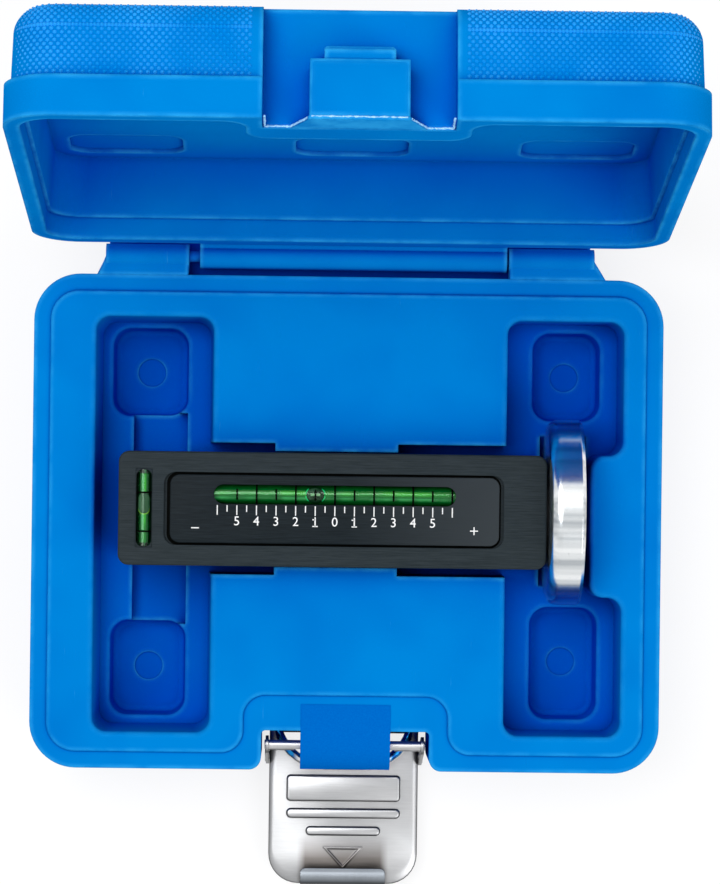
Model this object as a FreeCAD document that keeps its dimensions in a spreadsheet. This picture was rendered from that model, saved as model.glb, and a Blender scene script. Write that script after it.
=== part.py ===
import FreeCAD, Part
import math
import os
import re
import Sketcher
from FreeCAD import Placement, Rotation, Vector

# A magnetic camber and caster gauge in its moulded carry case, in millimetres.
# X runs along the gauge towards its magnet, Y towards the hinge, Z up.
# The origin is the middle of the case's flat underside. The lid stands open and
# the latch hangs down in front, its lever lying flat.

doc = FreeCAD.newDocument("camber_caster_gauge")
sheet = doc.addObject("Spreadsheet::Sheet", "Sizes")
nodes = {}


# ---------------------------------------------------------------- driving sizes

case_sizes = {
    "case_over": 57.4,           # case's width over the gauge's length
    "case_deep": 138,            # outside, across the rim bands
    "base_tall": 35,             # underside to the mating plane
    "lid_roof": 7.5,             # between the lid's hollow and its top
    "case_corner": 13,           # rounding of the upright corners
    "band_tall": 10.5,           # smooth band beside the mating plane
    "band_proud": 1.7,           # how far that band stands out of the walls
    "wall_draft": 1.5,           # degrees
    "foot_round": 4,             # underside edge
    "lid_round": 7,              # lid's top edge
    "lid_gap": 0.15,             # between the closed rims
    "plateau_rise": 1,           # raised deck that steps into the lid
    "plateau_corner": 8,
    "rim_wide": 4.7,             # flat rim round the deck
    "bay_half": 28.6,            # half width of the deck's step round the latch
    "bay_deep": 20.9,            # from the case's front to that step
    "bay_round": 6.2,
    "deck_gap": 0.6,             # deck to the lid's inner wall
    "cut_past": 1,               # how far a cutter reaches past a surface
}
bed_sizes = {
    "ledge_high": 15,            # floor under the bar and of the troughs
    "socket_high": 4,            # floor of the four deep sockets
    "slot_high": 9,              # floor of the slot between the left sockets
    "pocket_draft": 3,           # degrees
    "pocket_corner": 4,
    "socket_corner": 5,
    "left_in": 17.4,             # troughs in from the case's ends, back and front
    "right_in": 11,
    "back_in": 11.7,
    "front_in": 10.2,
    "left_wide": 32.9,
    "right_wide": 32.6,
    "magnet_room": 2.5,          # magnet to the right trough's wall beside it
    "waist_back": 19.8,
    "waist_front": -19.8,
    "left_socket_in": 3.9,       # sockets in from the trough's outer side
    "left_socket_wide": 21.4,
    "left_slot_in": 10,
    "right_socket_in": 5.2,
    "right_socket_wide": 19.2,
    "back_socket_in": 2.7,       # and from its back and front
    "front_socket_in": 3.4,
    "back_socket_near": 29.5,
    "front_socket_near": -28.4,
    "right_front_near": -23.4,
    "mouth_round": 1.2,
    "socket_mouth_round": 1,
    "floor_round": 1.6,
    "bed_gap": 0.4,              # bar to the tight land
    "bed_slack": 2.6,            # bar to the wide stretches of the channel
    "land_left": -20.2,
    "land_right": 14.1,
    "channel_past": 4,           # how far the channel runs into the troughs
    "magnet_gap": 0.8,           # round the magnet
    "kiss_wide": 8,              # round weld marks on the socket floors
    "kiss_deep": 0.4,
}
lid_sizes = {
    "lid_open": 100,             # degrees from closed
    "magnet_over": 1.15,         # closed lid's hollow above the magnet
    "lid_draft": 2.5,            # degrees
    "lid_step": 6,               # depth of the wider mouth of the hollow
    "lid_step_in": 0.7,
    "lid_corner": 8.9,
    "panel_wide": 31,            # three shallow pads in the lid's inner panel
    "panel_deep": 19,
    "panel_sunk": 1.2,
    "panel_corner": 5,
    "panel_side": 26,            # outer pads' middles in from the case's ends
    "panel_near": 16,            # from the hinge axis
    "catch_wide": 24.7,
    "catch_low": 0.8,            # above the mating plane
    "catch_shoulder": 15.5,
    "catch_neck_wide": 17.6,
    "catch_top": 18.2,
    "catch_back": 1,             # front face behind the case's front
    "catch_neck_back": 1.5,
    "lid_recess_side": 0.5,      # wider each side than the base's recess
    "lid_recess_deep": 10,
}
hinge_sizes = {
    "hinge_out": 5.2,            # axis behind the case, and below the mating plane
    "hinge_down": 2.5,
    "hinge_room": 5.1,           # axis to the ledge left under the lid's knuckle
    "knuckle_wide": 6.8,
    "knuckle_left_end": -68.2,
    "knuckle_left_start": -45,
    "knuckle_mid_end": -41.9,
    "knuckle_mid_start": 43.9,
    "knuckle_right_start": 44.5,
    "knuckle_right_end": 68.4,
    "hinge_block_drop": 8,       # axis to the block's underside
    "hinge_block_spread": 4,
    "hinge_block_root": 3,       # into the back wall
    "hinge_web_root": 1,
    "hinge_web_inset": 0.1,
    "pin_wide": 3,
    "pin_gap": 0.06,
}
latch_sizes = {
    "latch_middle": 0.3,
    "recess_wide": 47,
    "recess_deep": 11,
    "recess_round": 3.4,
    "recess_inner_round": 1.2,
    "strap_wide": 25.1,
    "strap_root": 18.6,          # where it leaves the rim, from the front
    "strap_thick": 2.6,
    "strap_bend_back": 6.2,      # outer bends: from the case's front, and below the rim
    "strap_bend_drop": 3.6,
    "strap_face_back": 1.4,
    "strap_face_drop": 6.4,
    "strap_tip_back": -0.7,
    "strap_tip_drop": 12.5,
    "strap_tip_slant": 0.5,
    "strap_cover": 0.3,          # over the rod
    "strap_under": 1.4,          # its straight underside above the rod
    "rod_front": 6.5,            # link's lower axis, from the case's front
    "rod_down": 8.5,             # and below the mating plane
    "rod_wide": 2.6,
    "link_long": 21.8,           # rod to rivets
    "link_half": 22.3,           # to the arms' outer faces, outside the lever
    "link_thick": 0.9,
    "arm_wide": 5,
    "web_in": 14.2,              # half width of the cut-out for the strap
    "web_near": 2.2,
    "web_far": 8.4,
    "rivet_front": 1.9,          # rivet axis at rest, from the case's front
    "rivet_wide": 2.4,
    "rivet_gap": 0.05,
    "rivet_head_wide": 3.8,
    "rivet_head_thick": 0.3,
    "lever_half": 21.3,
    "lever_sheet": 0.9,
    "lever_tall": 4.4,
    "lever_top": 2.2,            # top face above the rivet axis
    "lever_tip": 36.6,           # rivet axis to the finger end
    "lever_back": 8.6,           # rivet axis to the hook end
    "lever_corner": 8.4,
    "window_half": 18.6,
    "window_front": 4.3,
    "window_front_half": 11,
    "window_slope": 3.5,
    "hook_wide": 2.2,
    "hook_reach": 7.5,
    "hook_drop": 1.9,
    "tab_wide": 24.2,
    "tab_round": 3,
    "tab_long": 5,
    "tab_shoulder": 4.2,         # heights of the rolled tab above the plate
    "tab_crown": 5.7,
    "tab_lip": 5.1,
    "rib_rise": 0.7,
    "rib_long": 33,              # two long ribs and a short one: middle and width of each
    "rib_short": 21.6,
    "rib_broad_at": 9.15,
    "rib_broad": 7.5,
    "rib_slim_at": 16.35,
    "rib_slim": 2.7,
    "rib_last_at": 21.4,
    "rib_last": 2.6,
    "arrow_wide": 11.6,
    "arrow_start": 24.9,
    "arrow_tip": 31,
}
gauge_sizes = {
    "gauge_long": 118.6,
    "gauge_aside": 4.1,          # its middle left of the case's
    "gauge_square": 31.6,
    "gauge_corner": 3,
    "gauge_edge": 0.6,
    "gauge_middle": 3.9,         # its axis, in Y and Z
    "gauge_high": 31,
    "plate_ends": 24.6,          # bar's length over the recess's
    "plate_aside": 0.35,         # recess's middle right of the bar's
    "plate_recess_tall": 20.2,
    "plate_recess_deep": 1.6,
    "plate_recess_corner": 3.2,
    "plate_gap": 0.35,           # above and below the plate
    "plate_end_gap": 1.1,
    "plate_thick": 1.4,
    "window_ends": 51.6,         # bar's length over the window's
    "window_tall": 5.4,
    "window_offset": 4.1,
    "scale_aside": 0.6,          # scale's zero right of the bar's middle
    "scale_step": 5.42,          # one degree of the scale
}
vial_sizes = {
    "vial_wide": 8,
    "vial_bore": 6,
    "vial_over": 7,              # vial's length over the window's
    "vial_end": 2,
    "vial_sunk": 5.7,            # axis below the face
    "vial_gap": 0.1,
    "bubble_long": 5,
    "bubble_wide": 3.6,
    "bubble_up": 0.95,
    "bubble_gap": 0.06,
    "liquid_gap": 0.02,
    "round_spare": 0.02,         # short of a full half round at a slot's end
    "cross_wide": 4.4,
    "cross_bore": 3,
    "cross_long": 21.5,
    "cross_end": 1.2,
    "cross_in": 7.1,             # its middle in from the bar's left end
    "cross_sunk": 2.35,
    "cross_bubble_long": 5.6,
    "cross_bubble_wide": 2.2,
    "cross_bubble_up": 0.3,
    "cross_bubble_at": 1.3,
}
caster_sizes = {
    "carrier_ends": 34.6,        # bar's length over the carrier's
    "carrier_room": 4,           # cavity's length over the carrier's
    "caster_cavity_tall": 10.6,
    "caster_cavity_deep": 16,
    "carrier_grip": 14,          # carrier's length over its vial's
    "caster_vial_sunk": 6.4,
    "carrier_tall": 9.4,
    "carrier_thick": 9.2,
    "carrier_sunk": 2.6,         # its face below the bar's side
    "carrier_pivot_in": 3,       # pivot from the carrier's end
    "pivot_wide": 2,
    "pivot_gap": 0.05,
    "pivot_sink": 4,             # into the bar past the cavity
    "screw_in": 3.6,             # adjusting screw from the carrier's other end
    "screw_wide": 2.5,
    "screw_head_wide": 4.6,
    "screw_head_thick": 1.5,
    "screw_gap": 0.35,
    "cushion_wide": 5,           # rubber sleeve behind the carrier
    "cushion_gap": 0.6,          # left for the carrier to move
}
magnet_sizes = {
    "spacer_thick": 0.5,
    "spacer_wide": 27,
    "magnet_wide": 52,
    "magnet_thick": 9.8,
    "cup_wall": 3.2,
    "cup_back": 3.8,
    "cup_shoulder": 3.4,
    "cup_chamfer": 0.9,
    "ring_bore": 24,
    "ring_sunk": 0.3,
    "ring_gap": 0.1,
    "pole_wide": 22,
    "magnet_screw_wide": 5,
    "magnet_screw_long": 13,
    "magnet_screw_head": 9,
    "magnet_screw_sink": 2.6,
    "magnet_screw_low": 0.6,     # head's top below the pole's face
    "magnet_screw_end": 1,       # left free at the bottom of its hole
    "thread_gap": 0.02,
}
following_sizes = {              # sizes that follow the ones above
    "case_wide": "gauge_long + case_over",
    "gauge_left": "-gauge_long / 2 - gauge_aside",
    "plate_recess_long": "gauge_long - plate_ends",
    "plate_recess_middle": "gauge_left + gauge_long / 2 + plate_aside",
    "scale_zero": "gauge_left + gauge_long / 2 + scale_aside",
    "window_long": "gauge_long - window_ends",
    "vial_long": "window_long + vial_over",
    "cross_middle": "gauge_left + cross_in",
    "carrier_long": "gauge_long - carrier_ends",
    "caster_cavity_long": "carrier_long + carrier_room",
    "caster_vial_long": "carrier_long - carrier_grip",
    "left_outer": "-case_wide / 2 + left_in",
    "left_inner": "left_outer + left_wide",
    "right_outer": "case_wide / 2 - right_in",
    "right_inner": "right_outer - right_wide",
    "waist_outer": "gauge_left + gauge_long + spacer_thick + magnet_thick + magnet_room",
    "trough_back": "case_deep / 2 - back_in",
    "trough_front": "-case_deep / 2 + front_in",
    "left_socket_outer": "left_outer + left_socket_in",
    "left_socket_inner": "left_socket_outer + left_socket_wide",
    "left_slot_outer": "left_outer + left_slot_in",
    "right_socket_outer": "right_outer - right_socket_in",
    "right_socket_inner": "right_socket_outer - right_socket_wide",
    "back_socket_far": "trough_back - back_socket_in",
    "front_socket_far": "trough_front + front_socket_in",
    "lid_hollow": "gauge_high + magnet_wide / 2 + magnet_over - base_tall - lid_gap",
    "lid_tall": "lid_hollow + lid_roof",
    "panel_pitch": "case_wide / 2 - panel_side",
    "hinge_back": "case_deep / 2 + hinge_out",
    "hinge_high": "base_tall - hinge_down",
    "hinge_ledge": "hinge_high - hinge_room",
    "hinge_block_low": "hinge_high - hinge_block_drop",
    "rod_high": "base_tall - rod_down",
}
all_sizes = [case_sizes, bed_sizes, lid_sizes, hinge_sizes, latch_sizes, gauge_sizes, vial_sizes,
             caster_sizes, magnet_sizes, following_sizes]


def fill_sheet():
    """Write every driving size into the sheet, its name as the cell's alias."""
    row = 1
    for group in all_sizes:
        for name, amount in group.items():
            sheet.set("A%d" % row, name)
            sheet.set("B%d" % row, "=" + amount if isinstance(amount, str) else str(amount))
            sheet.setAlias("B%d" % row, name)
            row += 1
    doc.recompute()


def size(name):
    """Present value of one size."""
    return float(sheet.get(name))


def bound(text):
    """Expression in which each size name is looked up in the sheet."""
    return re.sub(r"[a-z]+(?:_[a-z]+)+", lambda word: "Sizes." + word.group(0), str(text))


# ---------------------------------------------------------------- shared makers

def keep(name, made):
    """Give a finished sub-part its own label and list it for export."""
    made.Label = name
    nodes[name] = made
    return made


def new_body(name):
    """A body that becomes the sub-part of that name."""
    return keep(name, doc.addObject("PartDesign::Body", name))


def sketch_on(body, role, height):
    """Empty sketch on one of the body's origin planes, lifted by a bound height."""
    plane = [face for face in body.Origin.OriginFeatures if face.Role == role][0]
    sketch = body.newObject("Sketcher::SketchObject", body.Name + "_sketch")
    sketch.AttachmentSupport = [(plane, "")]
    sketch.MapMode = "FlatFace"
    sketch.setExpression("AttachmentOffset.Base.z", bound(height))
    return sketch


def fix_point(sketch, piece, end, across, up):
    """Bind one point of the sketch to two expressions."""
    for kind, place in (("DistanceX", across), ("DistanceY", up)):
        index = sketch.addConstraint(Sketcher.Constraint(kind, -1, 1, piece, end, 1.0))
        sketch.setExpression("Constraints[%d]" % index, bound(place))


def outline(body, role, height, corners):
    """Closed outline whose corners are pairs of expressions, in order round it."""
    sketch = sketch_on(body, role, height)
    count = len(corners)
    start = [Vector(math.cos(2 * math.pi * i / count), math.sin(2 * math.pi * i / count), 0)
             for i in range(count)]
    for i in range(count):
        sketch.addGeometry(Part.LineSegment(start[i], start[(i + 1) % count]), False)
    for i in range(count):
        sketch.addConstraint(Sketcher.Constraint("Coincident", i, 2, (i + 1) % count, 1))
    for i, (across, up) in enumerate(corners):
        fix_point(sketch, i, 1, across, up)
    doc.recompute()
    return sketch


def rounds(body, role, height, circles):
    """Sketch of circles, each given by its centre and diameter."""
    sketch = sketch_on(body, role, height)
    for i, (across, up, wide) in enumerate(circles):
        sketch.addGeometry(Part.Circle(Vector(i, i, 0), Vector(0, 0, 1), 1), False)
        index = sketch.addConstraint(Sketcher.Constraint("Radius", i, 1.0))
        sketch.setExpression("Constraints[%d]" % index, bound("(%s) / 2" % wide))
        fix_point(sketch, i, 3, across, up)
    doc.recompute()
    return sketch


def rectangle(left, right, front, back):
    """Corners of a rectangle."""
    return [(left, front), (right, front), (right, back), (left, back)]


def feature(kind, body, sketch, length, down=False, taper=None, both=False):
    """Pad or Pocket of a sketch over a bound length."""
    made = body.newObject("PartDesign::" + kind, body.Name + "_" + kind.lower())
    made.Profile = sketch
    made.Reversed = down
    made.setExpression("Length", bound(length))
    if both:
        made.SideType = "Symmetric"
    if taper:
        made.setExpression("TaperAngle", bound(taper))
    before = body_volume(body, made)
    doc.recompute()
    after = made.Shape.Volume
    if (kind == "Pad") != (after > before):
        raise ValueError("%s of %s changes nothing: %f to %f" % (kind, body.Label, before, after))
    return made


def body_volume(body, newest):
    """Volume of the body before its newest feature."""
    earlier = newest.BaseFeature
    return earlier.Shape.Volume if earlier else 0.0


def pad(body, sketch, length, **how):
    """Add material."""
    return feature("Pad", body, sketch, length, **how)


def pocket(body, sketch, length, **how):
    """Take material away."""
    return feature("Pocket", body, sketch, length, **how)


def round_edges(body, radius, wanted, kind="Fillet"):
    """Fillet or chamfer those edges of the body for which wanted(edge) is true."""
    base = body.Tip
    names = ["Edge%d" % (i + 1) for i, edge in enumerate(base.Shape.Edges) if wanted(edge)]
    if not names:
        raise ValueError("no edge to round on " + body.Label)
    made = body.newObject("PartDesign::" + kind, body.Name + "_" + kind.lower())
    made.Base = (base, names)
    made.setExpression("Radius" if kind == "Fillet" else "Size", bound(radius))
    doc.recompute()
    if "Invalid" in made.State or made.Shape.isNull() or not made.Shape.isValid():
        raise ValueError("%s of %s fails on %s" % (kind, body.Label, names))
    return made


def corner_points(sketch):
    """Corners of a drawn outline, as points in its body."""
    return [sketch.Placement.multVec(line.StartPoint) for line in sketch.Geometry]


def direction(edge):
    """Unit direction of a straight edge, or no direction at all for a curved one."""
    ends = [vertex.Point for vertex in edge.Vertexes]
    if len(ends) < 2:
        return Vector()
    run = ends[1] - ends[0]
    if run.Length < 0.3 or edge.Length - run.Length > 1e-3:
        return Vector()
    return run.normalize()


def beside(points, reach=0.4):
    """Test for the steep straight edges that start at one of these corners of a sketch."""
    def wanted(edge):
        if abs(direction(edge).z) < 0.9:
            return False
        ends = [vertex.Point for vertex in edge.Vertexes]
        return min((end - point).Length for end in ends for point in points) < reach
    return wanted


def level_edges(height, inside=None):
    """Test for edges that lie level at one height, and in a region if one is given."""
    def wanted(edge):
        box = edge.BoundBox
        if abs(box.ZMin - height) > 1e-4 or abs(box.ZMax - height) > 1e-4:
            return False
        return inside is None or inside(box.Center)
    return wanted


turns = {
    "X": Rotation(Vector(0, 1, 0), 90),
    "Y": Rotation(Vector(1, 0, 0), -90),
    "Z": Rotation(),
}


def seat(made, axis, place):
    """Turn a primitive along an axis and bind its start point."""
    made.Placement = Placement(Vector(), turns[axis])
    for letter, where in zip("xyz", place):
        made.setExpression("Placement.Base." + letter, bound(where))


def cylinder(name, wide, length, axis, place):
    """Round bar of a bound diameter and length, starting at a bound point."""
    made = doc.addObject("Part::Cylinder", name)
    made.setExpression("Radius", bound("(%s) / 2" % wide))
    made.setExpression("Height", bound(length))
    seat(made, axis, place)
    return made


def ball(name, wide, place):
    """Sphere of a bound diameter about a bound point."""
    made = doc.addObject("Part::Sphere", name)
    made.setExpression("Radius", bound("(%s) / 2" % wide))
    seat(made, "Z", place)
    return made


def fused(name, pieces):
    """One solid of several."""
    made = doc.addObject("Part::MultiFuse", name)
    made.Shapes = pieces
    made.Refine = True
    return made


def cut(name, base, tool):
    """Base less tool."""
    made = doc.addObject("Part::Cut", name)
    made.Base = base
    made.Tool = tool
    return made


# ---------------------------------------------------------------- carry case

case_front = "-case_deep / 2"
case_back = "case_deep / 2"
recess_left = "latch_middle - recess_wide / 2"
recess_right = "latch_middle + recess_wide / 2"


def deck_outline(gap, bay_gap):
    """Corners of the raised deck, or of the lid's hollow with gaps outside it."""
    side = "(case_wide / 2 - rim_wide + %s)" % gap
    back = "(case_deep / 2 - rim_wide + %s)" % gap
    left = "latch_middle - bay_half + %s" % bay_gap
    right = "latch_middle + bay_half - %s" % bay_gap
    step = "-case_deep / 2 + bay_deep - %s" % bay_gap
    return [("-" + side, "-" + back), (left, "-" + back), (left, step), (right, step),
            (right, "-" + back), (side, "-" + back), (side, back), ("-" + side, back)]


def make_base():
    """Lower half of the case: walls, deck, gauge bed, sockets, strap and hinge knuckles."""
    body = new_body("base_shell")
    shoulder = "base_tall - band_tall"
    half = "(case_wide / 2 - band_proud)"
    deep = "(case_deep / 2 - band_proud)"

    walls = outline(body, "XY_Plane", shoulder, rectangle("-" + half, half, "-" + deep, deep))
    pad(body, walls, shoulder, down=True, taper="-wall_draft")
    round_edges(body, "case_corner - band_proud", beside(corner_points(walls)))
    round_edges(body, "foot_round", level_edges(0))

    band = outline(body, "XY_Plane", shoulder,
                   rectangle("-case_wide / 2", "case_wide / 2", case_front, case_back))
    pad(body, band, "band_tall")
    round_edges(body, "case_corner", beside(corner_points(band)))

    deck = outline(body, "XY_Plane", "base_tall", deck_outline("0", "0"))
    pad(body, deck, "plateau_rise")
    outer = corner_points(deck)
    round_edges(body, "plateau_corner", beside([outer[0]] + outer[5:]))
    round_edges(body, "bay_round", beside(outer[1:5]))
    round_edges(body, "plateau_rise / 2", level_edges(size("base_tall") + size("plateau_rise")))

    recess = outline(body, "XY_Plane", "base_tall",
                     rectangle(recess_left, recess_right, case_front + " - cut_past",
                               case_front + " + recess_deep"))
    pocket(body, recess, "base_tall")
    mouth = size("case_deep") / 2 - size("band_tall") / 2
    sides = [size("latch_middle") + turn * size("recess_wide") / 2 for turn in (-1, 1)]

    def recess_mouth(edge):
        middle = edge.BoundBox.Center
        upright = edge.BoundBox.ZLength > 5 and middle.z > size("base_tall") - size("band_tall")
        return upright and middle.y < -mouth and min(abs(middle.x - side) for side in sides) < 0.01

    def recess_end(edge):
        middle = edge.BoundBox.Center
        end = -size("case_deep") / 2 + size("recess_deep")
        upright = edge.BoundBox.ZLength > 5 and abs(middle.y - end) < 0.01
        return upright and min(abs(middle.x - side) for side in sides) < 0.01

    round_edges(body, "recess_round", recess_mouth)
    round_edges(body, "recess_inner_round", recess_end)

    cut_troughs(body)
    add_strap(body)
    add_base_knuckles(body)
    return body


def cut_troughs(body):
    """Two troughs, the gauge's channel between them, the magnet's slot and the sockets."""
    top = "base_tall + plateau_rise"
    depth = top + " - ledge_high"
    deck_high = size("base_tall") + size("plateau_rise")
    past = size("cut_past")
    bay_step = -size("case_deep") / 2 + size("bay_deep") + past

    def in_bed(middle):
        if not size("left_outer") - past < middle.x < size("right_outer") + past:
            return False
        if not size("trough_front") - past < middle.y < size("trough_back") + past:
            return False
        return abs(middle.x) > size("bay_half") + past or middle.y > bay_step

    def in_right_bed(middle):
        return in_bed(middle) and middle.x > 0

    left = outline(body, "XY_Plane", top, rectangle("left_outer", "left_inner", "trough_front",
                                                    "trough_back"))
    pocket(body, left, depth, taper="-pocket_draft")
    round_edges(body, "pocket_corner", beside(corner_points(left)))
    round_edges(body, "mouth_round", level_edges(deck_high, in_bed))

    right = outline(body, "XY_Plane", top, [
        ("right_inner", "trough_front"), ("right_outer", "trough_front"),
        ("right_outer", "waist_front"), ("waist_outer", "waist_front"),
        ("waist_outer", "waist_back"), ("right_outer", "waist_back"),
        ("right_outer", "trough_back"), ("right_inner", "trough_back")])
    pocket(body, right, depth, taper="-pocket_draft / 3")
    round_edges(body, "pocket_corner", beside(corner_points(right)))
    round_edges(body, "mouth_round", level_edges(deck_high, in_right_bed))

    near = "gauge_middle - gauge_square / 2"
    far = "gauge_middle + gauge_square / 2"
    channel = outline(body, "XY_Plane", top, [
        ("left_inner - channel_past", near + " - bed_slack"), ("land_left", near + " - bed_slack"),
        ("land_left", near + " - bed_gap"), ("land_right", near + " - bed_gap"),
        ("land_right", near + " - bed_slack"), ("right_inner + channel_past", near + " - bed_slack"),
        ("right_inner + channel_past", far + " + bed_slack"), ("land_right", far + " + bed_slack"),
        ("land_right", far + " + bed_gap"), ("land_left", far + " + bed_gap"),
        ("land_left", far + " + bed_slack"), ("left_inner - channel_past", far + " + bed_slack")])
    pocket(body, channel, depth)

    slot_start = "gauge_left + gauge_long + spacer_thick - magnet_gap"
    disc = rounds(body, "YZ_Plane", slot_start,
                  [("gauge_middle", "gauge_high", "magnet_wide + 2 * magnet_gap")])
    pocket(body, disc, "waist_outer - (%s)" % slot_start, down=True)

    for left_side, right_side, front, back in (
            ("left_socket_outer", "left_socket_inner", "back_socket_near", "back_socket_far"),
            ("left_socket_outer", "left_socket_inner", "front_socket_far", "front_socket_near"),
            ("right_socket_inner", "right_socket_outer", "back_socket_near", "back_socket_far"),
            ("right_socket_inner", "right_socket_outer", "front_socket_far", "right_front_near")):
        socket = outline(body, "XY_Plane", "ledge_high",
                         rectangle(left_side, right_side, front, back))
        pocket(body, socket, "ledge_high - socket_high", taper="-pocket_draft")
        round_edges(body, "socket_corner", beside(corner_points(socket)))
        box = socket.Shape.BoundBox
        round_edges(body, "socket_mouth_round", level_edges(
            size("ledge_high"), lambda middle: box.XMin - 1e-3 < middle.x < box.XMax + 1e-3
            and box.YMin - 1e-3 < middle.y < box.YMax + 1e-3))
    slot = outline(body, "XY_Plane", "ledge_high",
                   rectangle("left_slot_outer", "left_socket_inner",
                             "front_socket_near - cut_past", "back_socket_near + cut_past"))
    pocket(body, slot, "ledge_high - slot_high")

    round_edges(body, "floor_round", level_edges(size("socket_high"), in_bed))

    left_mid = "(left_socket_outer + left_socket_inner) / 2"
    right_mid = "(right_socket_inner + right_socket_outer) / 2"
    back_mid = "(back_socket_near + back_socket_far) / 2"
    marks = rounds(body, "XY_Plane", "socket_high", [
        (left_mid, back_mid, "kiss_wide"),
        (left_mid, "(front_socket_near + front_socket_far) / 2", "kiss_wide"),
        (right_mid, back_mid, "kiss_wide"),
        (right_mid, "(right_front_near + front_socket_far) / 2", "kiss_wide")])
    pocket(body, marks, "kiss_deep")


def add_strap(body):
    """Hooked strap that stands out over the recess and holds the latch's rod."""
    over_rod = "rod_high + rod_wide / 2"

    def back_from_front(name):
        return "%s + %s" % (case_front, name)

    profile = outline(body, "YZ_Plane", "latch_middle", [
        (back_from_front("strap_root"), "base_tall"),
        (back_from_front("strap_bend_back"), "base_tall - strap_bend_drop"),
        (back_from_front("strap_face_back"), "base_tall - strap_face_drop"),
        (back_from_front("strap_tip_back"), "base_tall - strap_tip_drop"),
        (back_from_front("strap_tip_back + strap_thick"),
         "base_tall - strap_tip_drop - strap_tip_slant"),
        (back_from_front("strap_face_back + strap_thick"), over_rod + " - strap_cover"),
        (back_from_front("rod_front"), over_rod + " + strap_cover"),
        (back_from_front("recess_deep"), over_rod + " + strap_under"),
        (back_from_front("strap_root"), over_rod + " + strap_under")])
    pad(body, profile, "strap_wide", both=True)


def add_base_knuckles(body):
    """Block along the back with a knuckle at each end, bored for the pin."""
    block = outline(body, "XY_Plane", "hinge_block_low", [
        ("knuckle_left_end - hinge_block_spread", case_back + " - hinge_block_root"),
        ("knuckle_right_end + hinge_block_spread", case_back + " - hinge_block_root"),
        ("knuckle_right_end", "hinge_back"), ("knuckle_left_end", "hinge_back")])
    pad(body, block, "hinge_high - hinge_block_low")
    for start, end in (("knuckle_left_end", "knuckle_left_start"),
                       ("knuckle_right_start", "knuckle_right_end")):
        ring = rounds(body, "YZ_Plane", start, [("hinge_back", "hinge_high", "knuckle_wide")])
        pad(body, ring, "%s - (%s)" % (end, start))
    gap = outline(body, "XY_Plane", "base_tall", rectangle(
        "knuckle_left_start", "knuckle_right_start", case_back, "hinge_back + knuckle_wide"))
    pocket(body, gap, "base_tall - hinge_ledge")
    bore = rounds(body, "YZ_Plane", "knuckle_left_end - cut_past",
                  [("hinge_back", "hinge_high", "pin_wide")])
    pocket(body, bore, "knuckle_right_end - (knuckle_left_end) + 2 * cut_past", down=True)


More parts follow.
